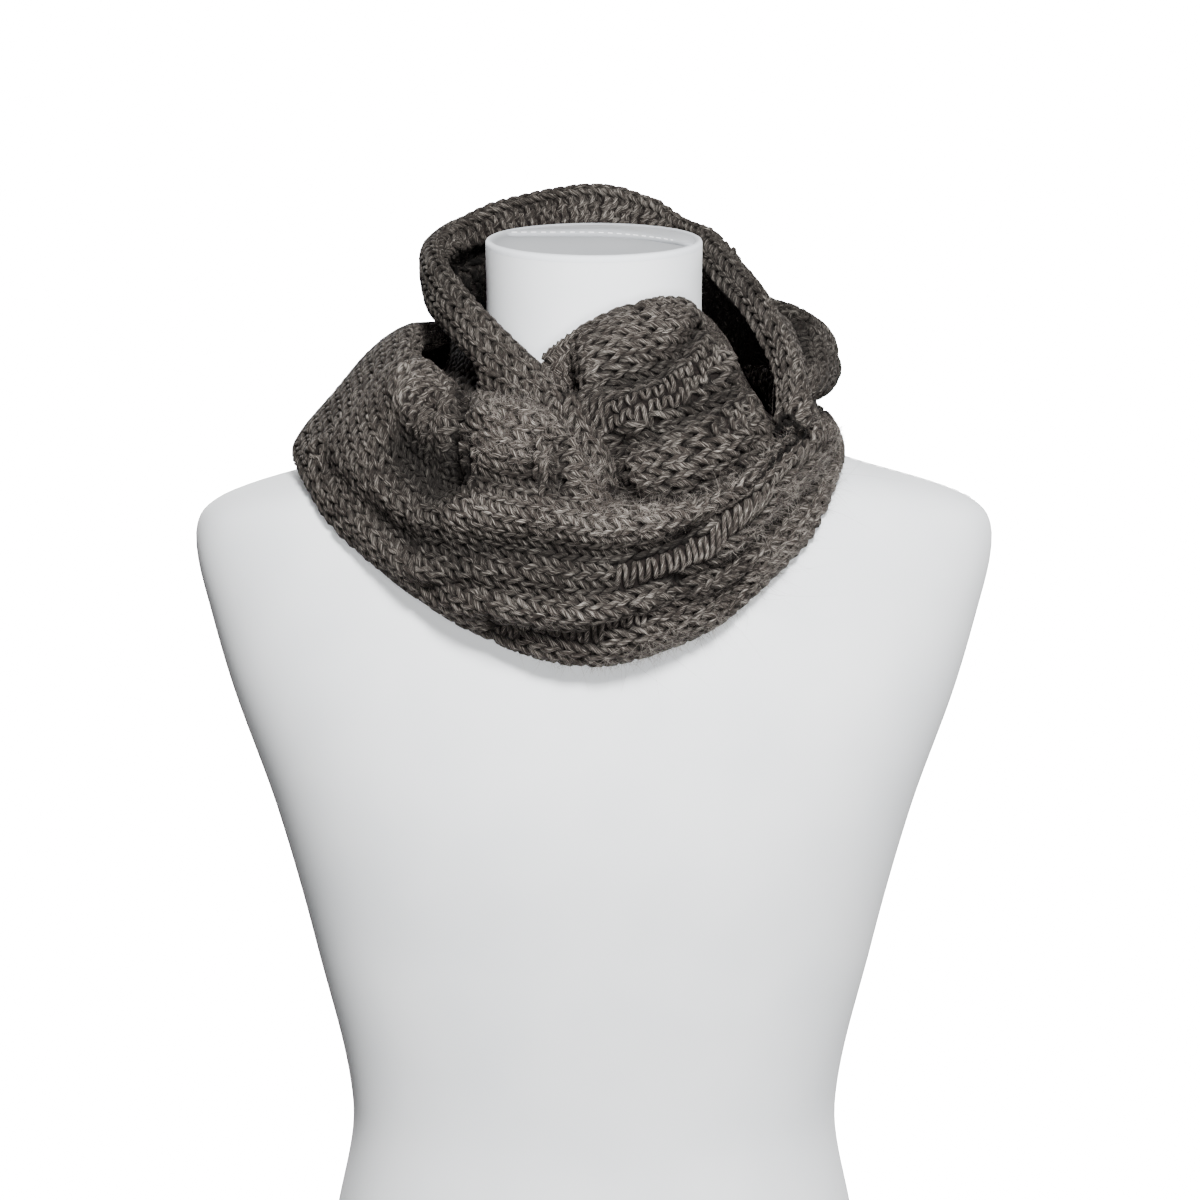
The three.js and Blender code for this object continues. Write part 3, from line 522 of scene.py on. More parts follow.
def yarn_strands(cloth, row_angle, purl_bands, ladders):
    """Centre points of the yarn, a strand for each row, with the cloth's outward vector at each point.

    With t going from -pi to pi over a stitch, the yarn is at wale + spread sin(2t) across, at
    row + reach cos(t) along, and at -depth cos(2t) kind outwards. At the head, where t is small, the
    kind is that of the stitch that the next row pulls through it. The stitches in a ladder are left
    out here. The last array is painted light for each point: painted shade where the yarn dips under
    its neighbour and in the creases, a painted highlight on the crests, and all of it times the
    stretch's painted shade.
    """
    start = cloth["distance"][0]
    wales = wale_range(cloth)
    first_wale = wales[0]
    rows = len(row_angle)
    kinds = np.where(in_bands(cloth, row_angle, wales, purl_bands), -1, 1)
    ladder = in_bands(cloth, row_angle, wales, ladders)
    soft = soften(kinds)
    samples = len(wales) * SAMPLES_PER_STITCH
    place = first_wale - 0.5 + (np.arange(samples) + 0.5) / SAMPLES_PER_STITCH
    wale = np.clip(np.round(place).astype(int) - first_wale, 0, len(wales) - 1)
    t = 2 * np.pi * (place - np.round(place))
    uneven = 1 + LOOP_UNEVEN * chance.standard_normal((3, rows, len(wales)))
    loop_sizes = (HEAD_SPREAD, LOOP_REACH, LOOP_DEPTH)
    spread, reach, depth = (u[:, wale] * size for u, size in zip(uneven, loop_sizes))
    drift = DRIFT_STEP * np.cumsum(chance.standard_normal((rows, len(wales))), axis=1)[:, wale]
    drift -= drift.mean(axis=1, keepdims=True)

    beside = np.clip(wale + np.sign(t).astype(int), 0, len(wales) - 1)
    own, following = kinds[:, wale], np.roll(kinds, -1, axis=0)[:, wale]
    leg = np.where(np.abs(t) < 3 * np.pi / 4, own, (own + kinds[:, beside]) / 2)
    kind = np.where(np.abs(t) <= np.pi / 4, following, leg)
    row = np.arange(rows)[:, None] + reach * np.cos(t) + np.clip(drift, -DRIFT_LIMIT, DRIFT_LIMIT)
    across = WALE_PITCH * (place + spread * np.sin(2 * t))
    turned = spare_rows(cloth, row_angle)
    column = across - start
    middle_row, middle = np.broadcast_arrays(np.arange(rows)[:, None] + float(SPARE_ROWS),
                                             WALE_PITCH * place - start)
    turn_place = grid_place(cloth, read_grid(turned, row + SPARE_ROWS, column))
    centre_place = grid_place(cloth, read_grid(turned, middle_row, middle))
    index = np.arange(len(cloth["low"]))
    low = np.interp(centre_place, index, cloth["low"])
    high = np.interp(centre_place, index, cloth["high"])
    inside = (WALE_PITCH * place >= low + EDGE_ROOM) & (WALE_PITCH * place <= high - EDGE_ROOM)
    if not cloth["closed"]:
        inside &= (centre_place >= 0) & (centre_place <= index[-1])
    inside &= ~ladder[:, wale]
    lift = -depth * np.cos(2 * t) * kind
    # lit, crease and crest are painted light: shade where the yarn dips and in creases, a highlight on
    # crests.
    lit = np.clip(0.5 + lift / (2 * LOOP_DEPTH), 0, 1)
    lift += PATTERN_RELIEF * read_grid(soft, row, np.broadcast_to(place - first_wale, row.shape))
    points = read_grid(cloth["points"], turn_place, column)
    normals = unit(read_grid(cloth["normals"], turn_place, column))
    relief = read_grid(cloth["relief_at"], turn_place, column)
    crease, crest = np.clip(-relief / CREASE_DEPTH, 0, 1), np.clip(relief / CREST_HEIGHT, 0, 1)
    light = (1 - LOOP_SHADE * (1 - lit)) ** SHADE_POWER
    light = light * (1 - CREASE_SHADE * crease) * (1 + CREST_LIGHT * crest)
    light *= painted_region_shade(cloth, turn_place)
    return points + normals * lift[..., None], normals, inside, light


# %% The bars of a ladder
BAR_LIFT = 1.9
BAR_DIP = 2.6
BAR_SHORT = 0.8
BAR_SAMPLES = 24
BAR_RADIUS = 1.65
BAR_LIGHT = 0.8
BAR_CREASE_SHARE = 0.5
BAR_CORNER = 0.97
BAR_WAIT = 0.9
PATH_SAMPLES = 60


def ladder_strands(cloth, ladders):
    """The bars of a rib seen from its side: in each ladder one strand swings from side to side while it
    goes along, two bars to a row.

    With p the way along the path over the row pitch, the strand is at the middle of the ladder's wales
    plus half their width times asin(corner sin(2 pi p)) over asin(corner), at
    p - wait sin(4 pi p) / (4 pi) along, so that it waits at each bar and hurries at the sides, where
    it also dips.
    """
    strands = []
    wales = wale_range(cloth)[None, :]
    start = cloth["distance"][0]
    for half_width, path in ladders:
        lines = (len(cloth["stretch"]["sections"][0]) - 1) // 2
        angles, across = np.array(path, float).T
        angles[[0, -1]] += np.array([-1, 1]) * half_width / cloth["stretch"]["degree_length"]
        fine = np.linspace(0, len(path) - 1, PATH_SAMPLES * len(path))
        angle, line = (np.interp(fine, np.arange(len(path)), values) for values in (angles, across))
        place = grid_place(cloth, angle)
        down = read_grid(cloth["length"], place, line / (lines - 1) * (ACROSS_POINTS - 1))
        line_there = read_grid(cloth["across_at"],
                               *np.broadcast_arrays(place[:, None], wales * WALE_PITCH - start))
        near = path_distance(cloth["stretch"], path, angle[:, None], line_there) < half_width
        nearest = np.argmin(np.abs(wales * WALE_PITCH - down[:, None]), axis=1)
        near[np.arange(len(near)), nearest] = True
        low = np.where(near, wales, np.inf).min(axis=1) - 0.5
        high = np.where(near, wales, -np.inf).max(axis=1) + 0.5
        way = run_length(read_grid(cloth["points"], place, down - start))
        p = np.arange(0, way[-1] / ROW_PITCH - 0.1, 1 / BAR_SAMPLES)
        steps = (p - BAR_WAIT * np.sin(4 * np.pi * p) / (4 * np.pi)) * ROW_PITCH
        swing = np.arcsin(BAR_CORNER * np.sin(2 * np.pi * p)) / np.arcsin(BAR_CORNER)
        place, low, high = (np.interp(steps, way, values) for values in (place, low, high))
        half = (high - low) / 2 - BAR_SHORT / WALE_PITCH
        column = ((low + high) / 2 + swing * half) * WALE_PITCH - start
        normals = unit(read_grid(cloth["normals"], place, column))
        crease = np.clip(-read_grid(cloth["relief_at"], place, column) / CREASE_DEPTH, 0, 1)
        points = read_grid(cloth["points"], place, column)
        points += normals * (BAR_LIFT - BAR_DIP * swing**4)[:, None]
        # Painted shade on the bars: darker where they dip at the sides and in creases, times the stretch's
        # painted shade.
        light = BAR_LIGHT * (1 - LOOP_SHADE * swing**4)
        light = light * (1 - BAR_CREASE_SHARE * CREASE_SHADE * crease)
        light *= painted_region_shade(cloth, place)
        strands.append((points, normals, light))
    return strands


# %% [markdown]
# ## Tubes of yarn
# The yarn's section is nearly round, and it is only a few pixels wide in the picture, so five sides
# are enough once the shading is smooth. The strand's length goes into the mesh's own map, so that the
# fibres and the twist of the yarn can follow it.

# %% Making meshes
def make_mesh(name, points, corners, sizes, material, corner_map=None, light=None):
    """Puts whole arrays into a mesh: points in millimetres, and faces as a run of corner numbers
    with the number of corners of each face. light is the painted light for each point, kept with the mesh."""
    mesh = bpy.data.meshes.new(name)
    mesh.vertices.add(len(points))
    mesh.vertices.foreach_set("co", (np.asarray(points, float) * MM).ravel())
    mesh.loops.add(len(corners))
    mesh.loops.foreach_set("vertex_index", corners.astype(np.int32))
    mesh.polygons.add(len(sizes))
    mesh.polygons.foreach_set("loop_start", (np.cumsum(sizes) - sizes).astype(np.int32))
    mesh.polygons.foreach_set("loop_total", sizes.astype(np.int32))
    mesh.polygons.foreach_set("use_smooth", np.ones(len(sizes), bool))
    if corner_map is not None:
        mesh.uv_layers.new(name="along_yarn").data.foreach_set("uv", corner_map.ravel())
    if light is not None:
        values = mesh.attributes.new("light", "FLOAT", "POINT").data
        values.foreach_set("value", light.astype(np.float32))
    mesh.update(calc_edges=True)
    mesh.validate()
    mesh.materials.append(material)
    piece = bpy.data.objects.new(name, mesh)
    bpy.context.scene.collection.objects.link(piece)
    return piece


def tube_arrays(points, normals, radius, strand, sides):
    """Rings of points round each centre point: point + radius (side cos a + up sin a), where up is the
    outward vector made square to the strand. Neighbours with the same strand number are joined, and a
    strand's two end rings are closed by a face."""
    near = np.roll(strand, 1) == strand
    far = np.roll(strand, -1) == strand
    near[0] = far[-1] = False
    ahead = np.where(far[:, None], np.roll(points, -1, axis=0), points)
    behind = np.where(near[:, None], np.roll(points, 1, axis=0), points)
    tangent = ahead - behind
    step = np.linalg.norm(tangent, axis=1, keepdims=True)
    tangent = tangent / np.maximum(step, 1e-9)
    side = np.cross(tangent, normals)
    side /= np.maximum(np.linalg.norm(side, axis=1, keepdims=True), 1e-9)
    up = np.cross(side, tangent)
    turn = 2 * np.pi * np.arange(sides) / sides - np.pi / 2
    rings = points[:, None] + radius[:, None, None] * (
        np.cos(turn)[None, :, None] * side[:, None] + np.sin(turn)[None, :, None] * up[:, None])
    joined, first, last = (np.nonzero(which)[0] for which in (far, ~near, ~far))
    k = np.arange(sides)
    here, beside = joined[:, None] * sides + k, joined[:, None] * sides + (k + 1) % sides
    quads = np.stack([here, beside, beside + sides, here + sides], -1)
    starts = first[:, None] * sides + k[::-1]
    ends = last[:, None] * sides + k
    gaps = np.where(near, np.linalg.norm(points - np.roll(points, 1, axis=0), axis=1), 0)
    run = np.cumsum(gaps)

    def ring_map(rings, places):
        """The map of each ring's corners: the length along the yarn, and the place round it."""
        return np.stack(np.broadcast_arrays(run[rings][:, None], places), -1)

    low, high = k / sides, (k + 1) / sides
    quad_map = np.stack([ring_map(joined, low), ring_map(joined, high),
                         ring_map(joined + 1, high), ring_map(joined + 1, low)], -2)
    cap_map, end_map = ring_map(first, low[::-1]), ring_map(last, low)
    corners = np.concatenate([quads.reshape(-1), starts.reshape(-1), ends.reshape(-1)])
    sizes = np.concatenate([np.full(quads.size // 4, 4), np.full(len(starts) + len(ends), sides)])
    corner_map = np.concatenate([part.reshape(-1, 2) for part in (quad_map, cap_map, end_map)])
    return rings.reshape(-1, 3), corners, sizes, corner_map * (MM, 1)


# %% [markdown]
# ## The yarn's finish
# The yarn is a soft marl: brown-grey wool with paler and darker fibres twisted together, and a haze
# of fine hair. The colour is streaked along the yarn and the bump has the turns of its plies and its
# fibres. Painted shade darkens its sides, and the colour is times each point's painted light. The sheen is
# faint, because a strong one flattened the loops; real hairs make the haze.

# %% Helpers for materials
def new_material(name):
    """A node material, with two helpers: add() makes a node and sets its inputs, and set_shader()
    sets those of the Principled shader. An input's name has _ for a space, or is i and its number."""
    material = bpy.data.materials.new(name)
    material.use_nodes = True
    nodes, links = material.node_tree.nodes, material.node_tree.links

    def feed(node, inputs):
        for key, value in inputs.items():
            numbered = key[0] == "i" and key[1:].isdigit()
            socket = node.inputs[int(key[1:])] if numbered else node.inputs[key.replace("_", " ")]
            if isinstance(value, bpy.types.NodeSocket):
                links.new(value, socket)
            else:
                socket.default_value = value

    def add(kind, settings=None, **inputs):
        node = nodes.new(kind)
        for key, value in (settings or {}).items():
            setattr(node, key, value)
        feed(node, inputs)
        return node

    def set_shader(**inputs):
        feed(nodes["Principled BSDF"], inputs)

    return material, add, set_shader


def object_noise(add, scale):
    """Noise read at each point's place on the object, with about so many grains in a metre."""
    place = add("ShaderNodeTexCoord").outputs["Object"]
    return add("ShaderNodeTexNoise", Vector=place, Scale=scale).outputs["Fac"]


def colour_ramp(add, number, *stops):
    """Colours by a number from 0 to 1: each stop is a position and a linear colour."""
    ramp = add("ShaderNodeValToRGB", i0=number)
    elements = ramp.color_ramp.elements
    elements[0].position, elements[0].color = stops[0]
    elements[1].position, elements[1].color = stops[-1]
    for position, colour in stops[1:-1]:
        elements.new(position).color = colour
    return ramp.outputs["Color"]


def dimmed(add, colour, share):
    """A colour times a number."""
    return add("ShaderNodeVectorMath", {"operation": "SCALE"}, i0=colour, Scale=share).outputs[0]


def mesh_light(add):
    """The painted light that a mesh keeps for each of its points."""
    return add("ShaderNodeAttribute", {"attribute_name": "light"}).outputs["Fac"]


def srgb(hex_colour):
    """A web colour as the linear red, green and blue that shaders take."""
    parts = np.array([int(hex_colour[k:k + 2], 16) for k in (1, 3, 5)]) / 255
    linear = np.where(parts <= 0.04045, parts / 12.92, ((parts + 0.055) / 1.055) ** 2.4)
    return (*linear, 1.0)


# %% The marled yarn
DARK_FIBRE = srgb("#1f1c19")
MAIN_FIBRE = srgb("#3f3935")
PALE_FIBRE = srgb("#cfc8be")
# SIDE_SHADE is painted shade at the yarn's sides; the three fibre colours above are the wool's own.
SIDE_SHADE = 0.15
PLY_TURN = 14.0
PLIES = 3.0


def yarn_material():
    """Streaks and plies that follow the yarn, with painted shade at its sides, times the painted light
    that each point of the mesh has. The share at the yarn's top is |cos(2 pi v)|, from the side shade up
    to 1."""
    material, add, set_shader = new_material("marled_yarn")
    own_map = add("ShaderNodeUVMap", {"uv_map": "along_yarn"}).outputs["UV"]
    parts = add("ShaderNodeSeparateXYZ", i0=own_map)
    along, around = parts.outputs["X"], parts.outputs["Y"]

    def math(operation, *values):
        numbered = {f"i{k}": value for k, value in enumerate(values)}
        return add("ShaderNodeMath", {"operation": operation}, **numbered).outputs[0]

    def fibres(turn_mm, fineness, stretch_mm):
        """Noise stretched along the yarn and wound round it: read at (length / stretch,
        fineness cos a, fineness sin a), where a = 2 pi (v + length / turn)."""
        angle = math("MULTIPLY_ADD", along, 2 * np.pi / (turn_mm * MM),
                     math("MULTIPLY", around, 2 * np.pi))
        vector = add("ShaderNodeCombineXYZ", i0=math("DIVIDE", along, stretch_mm * MM),
                     i1=math("MULTIPLY", math("COSINE", angle), fineness),
                     i2=math("MULTIPLY", math("SINE", angle), fineness)).outputs[0]
        noise = add("ShaderNodeTexNoise", {"noise_dimensions": "3D"},
                    Vector=vector, Scale=1.0, Detail=3.0, Roughness=0.6)
        return noise.outputs["Fac"], angle

    broad, ply_angle = fibres(PLY_TURN, 0.9, 9.0)
    fine, _ = fibres(PLY_TURN * 1.4, 5.5, 5.0)
    tone = math("ADD", math("MULTIPLY", broad, 0.12), math("MULTIPLY", fine, 0.78))
    tone = math("ADD", tone, math("MULTIPLY", object_noise(add, 45.0), 0.10))
    marl = colour_ramp(add, tone, (0.34, DARK_FIBRE), (0.52, MAIN_FIBRE), (0.70, PALE_FIBRE))
    top_painted_light = math("ABSOLUTE", math("COSINE", math("MULTIPLY", around, 2 * np.pi)))
    top_painted_light = math("MULTIPLY_ADD", top_painted_light, 1 - SIDE_SHADE, SIDE_SHADE)
    plies = math("SINE", math("MULTIPLY", ply_angle, PLIES))
    height = math("ADD", math("MULTIPLY", plies, 0.25), fine)
    bump = add("ShaderNodeBump", Height=height, Strength=0.8, Distance=0.6 * MM)
    set_shader(Base_Color=dimmed(add, marl, math("MULTIPLY", top_painted_light, mesh_light(add))),
               Roughness=0.92, Specular_IOR_Level=0.1, Sheen_Weight=0.04, Sheen_Roughness=0.5,
               Sheen_Tint=srgb("#b9afa5"), Normal=bump.outputs["Normal"])
    return material


yarn_finish = yarn_material()


# %% The thin cloth under the loops, painted near black as shade
def painted_shade_backing():
    """Painted shade: nearly black, a little speckled, for the shade between the loops."""
    material, add, set_shader = new_material("cloth_core_painted_shade")
    speckled_shade = colour_ramp(add, object_noise(add, 600.0), (0.35, srgb("#0d0b0a")), (0.70, srgb("#1d1917")))
    set_shader(Base_Color=speckled_shade, Roughness=1.0, Specular_IOR_Level=0.1)
    return material


core_painted_shade = painted_shade_backing()


# %% [markdown]
# ## The cloth under the loops
# A real knit has no sheet inside it, but its loops are so close that hardly any light goes through.
# A thin dark cloth in the middle of the wall does that work, and its near-black colour is painted
# shade for the gaps between the loops. It is also the sheet whose size the model states. The yarn goes
# over it and under it.

# %% Building a stretch
def shell_arrays(outer, inner, closed):
    """A closed wall between two grids: both faces, the strips along the two long edges, and, where the
    cloth doesn't go all the way round, the strips at its two ends."""
    rows, columns = outer.shape[:2]
    points = np.concatenate([outer.reshape(-1, 3), inner.reshape(-1, 3)])
    number = np.arange(rows * columns).reshape(rows, columns)
    under = number + rows * columns
    upper, lower, next_upper, next_lower = (
        grid if closed else grid[:-1]
        for grid in (number, under, np.roll(number, -1, axis=0), np.roll(under, -1, axis=0)))
    quads = [
        np.stack([upper[:, :-1], upper[:, 1:], next_upper[:, 1:], next_upper[:, :-1]], -1),
        np.stack([lower[:, :-1], next_lower[:, :-1], next_lower[:, 1:], lower[:, 1:]], -1),
        np.stack([upper[:, 0], next_upper[:, 0], next_lower[:, 0], lower[:, 0]], -1),
        np.stack([upper[:, -1], lower[:, -1], next_lower[:, -1], next_upper[:, -1]], -1),
    ]
    if not closed:
        quads.append(np.stack([number[0, :-1], under[0, :-1], under[0, 1:], number[0, 1:]], -1))
        quads.append(np.stack([number[-1, :-1], number[-1, 1:], under[-1, 1:], under[-1, :-1]], -1))
    corners = np.concatenate([q.reshape(-1) for q in quads])
    return points, corners, np.full(len(corners) // 4, 4)


MOST_TRIANGLES = 190_000
CORE_COLUMNS = 54
YARN_SIDES = 5
YARN_UNEVEN = 0.05
HAIR_LIGHT = 0.8
root_samples = []


def build_core(name, cloth):
    """The thin cloth: the wall's middle moved out and in by half the cloth's thickness."""
    count = len(cloth["angles"])
    rows = np.unique(np.round(np.linspace(0, count - 1, count // 2)).astype(int))
    if cloth["closed"]:
        rows = rows[:-1]
    columns = np.round(np.linspace(0, ACROSS_POINTS - 1, CORE_COLUMNS)).astype(int)
    middle = cloth["face"][rows][:, columns]
    normal = cloth["face_normals"][rows][:, columns]
    outer = middle - normal * (WALL / 2 - CLOTH_THICKNESS / 2)
    inner = middle - normal * (WALL / 2 + CLOTH_THICKNESS / 2)
    piece = make_mesh(name, *shell_arrays(outer, inner, cloth["closed"]), core_painted_shade)
    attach(piece, "root")
    return piece


def yarn_piece(name, centre, up, strand, radius, light):
    """One mesh of yarn round its centre points, with a thickness that is a little uneven."""
    radius = radius * (1 + YARN_UNEVEN * chance.standard_normal(len(centre)))
    arrays = tube_arrays(centre, up, radius, strand, YARN_SIDES)
    piece = make_mesh(name, *arrays[:3], yarn_finish, arrays[3], np.repeat(light, YARN_SIDES))
    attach(piece, "root")
    return piece


def build_yarn(name, strands, bars=()):
    """The yarn of one stretch, in as many pieces as keep each under the most triangles, and then the
    bars of its ladders. The points with the most painted light are kept, because the hair grows from them."""
    points, normals, inside, light = strands
    rows = len(points)
    total = inside.sum() * YARN_SIDES * 2
    parts = int(np.ceil(total / MOST_TRIANGLES))
    pieces = []
    for part, chosen in enumerate(np.array_split(np.arange(rows), parts)):
        keep = inside[chosen]
        broken = np.concatenate([np.ones((len(chosen), 1), bool), ~keep[:, :-1]], axis=1) & keep
        strand = np.cumsum(broken.ravel()).reshape(keep.shape)[keep]
        centre, up, lit = points[chosen][keep], normals[chosen][keep], light[chosen][keep]
        pieces.append(yarn_piece(f"{name}_{part + 1}", centre, up, strand, YARN_RADIUS, lit))
        root_samples.append(np.concatenate([centre, up], axis=1)[lit > HAIR_LIGHT])
    if bars:
        centre, up, lit = (np.concatenate(arrays) for arrays in zip(*bars))
        strand = np.repeat(np.arange(len(bars)), [len(bar[0]) for bar in bars])
        pieces.append(yarn_piece(name + "_bars", centre, up, strand, BAR_RADIUS, lit))
    print(name, "stitch rows", rows, "pieces", parts, "triangles about", int(total))
    return pieces


def print_size(name, cloth):
    """Prints the mean of the distances across the cloth and the length along its middle."""
    width = (cloth["high"] - cloth["low"]).mean()
    length = run_length(cloth["face"][:, ACROSS_POINTS // 2])[-1]
    print(name, "is about", round(width), "mm across and", round(length), "mm long")


def build_stretch(name, node, stretch, reference_line, gauge_distance, purl_bands, ladders):
    """A stretch of the scarf from its table: the thin cloth, and the rows of yarn on it."""
    cloth = measure_cloth(stretch, reference_line)
    core = build_core(name, cloth)
    row_angle = trace_rows(cloth, gauge_distance)
    yarn = build_yarn(name + "_yarn", yarn_strands(cloth, row_angle, purl_bands, ladders),
                      ladder_strands(cloth, ladders))
    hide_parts(node)
    print_size(name, cloth)
    return core, yarn


# %% [markdown]
# ## The drape
# This is the big outer loop. Its lowest part hangs over the chest, and its wales follow the hem. Each
# sheet's flat size is the width that is printed below by its number of rows times the row pitch, which
# is how a knitter would work it out. It says how this model is built. How large the real scarf was cut
# isn't known. The centre roll is the exception: it is stated 28 mm wide, and 30 mm is printed. The
# worn cloth's area comes out a tenth to a little over a fifth smaller than the flat size's.

# %% The drape
drape, drape_yarn = build_stretch(
    "drape", "scarf_drape", DRAPE, reference_line=6, gauge_distance=-40,
    purl_bands=[
        (5, [(-28, 2.0), (-27, 2.6)]),
        (5, [(-11, 2.0), (-11, 2.6)]),
        (9, [(-50, 1.5), (-44, 2.3)]),
        (7, [(75, 4.2), (100, 4.2), (130, 3.9)]),
        (7, [(150, 1.9), (210, 2.0)]),
        (7, [(140, 4.9), (215, 4.9)]),
    ],
    ladders=[
        (8.5, [(7, 4.0), (13, 3.95), (20, 3.85), (27, 3.5), (35, 3.15), (44, 2.95), (58, 2.8)]),
        (3, [(-22, 5.55), (-8, 5.5), (1, 5.35), (11, 5.1)]),
    ])

# %% The standing collar
collar, collar_yarn = build_stretch(
    "collar", "scarf_collar", COLLAR, reference_line=1, gauge_distance=20,
    purl_bands=[(5, [(-240, 3.2), (-130, 3.1)]), (9, [(-240, 0.4), (-127, 0.4)])], ladders=[])

# %% The shoulder fold
shoulder, shoulder_yarn = build_stretch(
    "shoulder_fold", "scarf_shoulder_fold", SHOULDER, reference_line=1, gauge_distance=30,
    purl_bands=[(8, [(60, 4.0), (80, 3.8), (100, 3.4), (118, 3.2)])], ladders=[])

# %% The neck wrap
neck_wrap, neck_wrap_yarn = build_stretch(
    "neck_wrap", "scarf_neck_wrap", NECK_WRAP, reference_line=1, gauge_distance=80,
    purl_bands=[(6, [(30, 4.75), (38, 4.8)])],
    ladders=[(4.2, [(-4, 3.55), (12, 3.5), (23, 3.48), (34, 3.25), (46, 3.1)]),
             (4.2, [(-2, 3.9), (12, 3.85), (23, 3.83), (34, 3.6), (44, 3.5)])])

# %% [markdown]
# ## The rolled end at the centre
# The collar's end curls into a narrow roll between the neck wrap and the drape.

# %% The centre roll
ROLL_SECTIONS = np.array([
    [612, -8.5, 112, 4.4, 5],
    [602, -7.1, 117, 4.4, 6.5],
    [590, -4.2, 119, 4.55, 7.5],
    [578, -0.6, 121.4, 4.0, 7],
    [568, 1.0, 123.4, 3.4, 6.5],
    [558, 2.6, 126, 2.8, 5.5],
], float)
ROLL_CURL = 115
# The roll's painted shade: its colour is darkened to this share for less light falling on it.
ROLL_PAINTED_SHADE = 0.7


def roll_cloth():
    """The roll: an arc at each height, with angle = swing + reach sin(turn) and
    radius = radius + rise cos(turn), where turn runs over both sides by the curl."""
    drop = np.linspace(-ROLL_SECTIONS[0, 0], -ROLL_SECTIONS[-1, 0], 55)
    swing, radius, reach, rise = smooth_rows(-ROLL_SECTIONS[:, 0], ROLL_SECTIONS[:, 1:], drop).T[..., None]
    turn = np.radians(ROLL_CURL * np.linspace(-1, 1, ACROSS_POINTS))[None, :]
    angle = np.radians(swing + reach * np.sin(turn))
    away = radius + rise * np.cos(turn)
    height = np.broadcast_to(-drop[:, None], angle.shape)
    face = np.stack([away * np.sin(angle), -away * np.cos(angle), height], -1)
    normal = -outward(face)
    return drop, face, normal


drop, roll_face, roll_normal = roll_cloth()
roll_length = run_length(roll_face)
roll_length -= roll_length[:, -1:] / 2
roll_distance = whole_millimetres(roll_length)
roll_out = read_at(roll_distance, roll_length, roll_normal)
roll_flat = np.zeros((len(drop), len(roll_distance)))
centre_roll_cloth = {
    "stretch": None, "closed": False, "painted_shades": [(drop[0], ROLL_PAINTED_SHADE)],
    "first": drop[0], "step": drop[1] - drop[0], "angles": drop, "distance": roll_distance,
    "points": read_at(roll_distance, roll_length, roll_face) - roll_out * WALL / 4,
    "normals": roll_out, "across_at": roll_flat, "relief_at": roll_flat,
    "low": roll_length[:, 0], "high": roll_length[:, -1],
    "face": roll_face + roll_normal * WALL / 4, "face_normals": roll_normal}
centre_roll = build_core("centre_roll", centre_roll_cloth)
centre_roll_yarn = build_yarn("centre_roll_yarn", yarn_strands(
    centre_roll_cloth, trace_rows(centre_roll_cloth, 0), [], []))
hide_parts("scarf_centre_roll")
print_size("centre_roll", centre_roll_cloth)

# %% [markdown]
# ## The haze of fine hair
# Short curved hairs stand out of the yarn everywhere, and a few long ones stray over the white form.
# They are three-sided tubes, thinner than a pixel, which softens every edge of the knitting.

# %% Fuzz
HAIR_POINTS = 4
HAIR_ROOM = 166
HAIR_LOOSE = 0.6
HAIR_BEND = 0.55
HAIR_DEPTH = 0.7
HAIR_SIDES = 3


def hairs(count, length_range, thickness, rise):
    """Curved hairs from random places on the yarn: root + s (direction) + s^2 (bend), with s from 0 to
    the hair's length. rise is how far a hair leans outwards. Hairs that reach too far forwards or
    back are left out."""
    roots = np.concatenate(root_samples)
    chosen = roots[chance.integers(0, len(roots), count)]
    centre, out = chosen[:, :3], chosen[:, 3:]
    loose = chance.standard_normal((count, 3))
    direction = unit(out * rise + loose * HAIR_LOOSE)
    bend = chance.standard_normal((count, 3)) * HAIR_BEND
    length = chance.uniform(*length_range, count)[:, None]
    s = np.linspace(0, 1, HAIR_POINTS)[None, :, None]
    path = (centre + direction * YARN_RADIUS * HAIR_DEPTH)[:, None] + length[:, None] * (
        s * direction[:, None] + s**2 * bend[:, None])
    near = np.abs(path[..., 1]).max(axis=1) < HAIR_ROOM
    path, direction, loose, count = path[near], direction[near], loose[near], near.sum()
    radius = thickness * (1.05 - s[..., 0]) * np.ones((count, 1))
    strand = np.repeat(np.arange(count), HAIR_POINTS)
    up = np.repeat(np.cross(direction, loose), HAIR_POINTS, axis=0)
    return tube_arrays(path.reshape(-1, 3), up, radius.reshape(-1), strand, HAIR_SIDES)


def hair_material():
    """Fine hair, grey-brown and paler in places."""
    material, add, set_shader = new_material("fine_hair")
    tone = colour_ramp(add, object_noise(add, 90.0), (0.38, srgb("#4a4541")), (0.62, srgb("#99938b")))
    set_shader(Base_Color=tone, Roughness=0.6)
    return material


hair_finish = hair_material()
for name, arrays in (("fuzz", hairs(5000, (3.0, 7.0), 0.065, 0.8)),
                     ("stray_hairs", hairs(260, (10.0, 28.0), 0.06, 0.9))):
    piece = make_mesh(name, *arrays[:3], hair_finish, arrays[3])
    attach(piece, "root")
    print(name, "faces", len(piece.data.polygons))

# %% [markdown]
# ## The dress form
# The form is foam with a stretched white jersey cover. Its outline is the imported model's, drawn with
# many more points so that it is smooth.

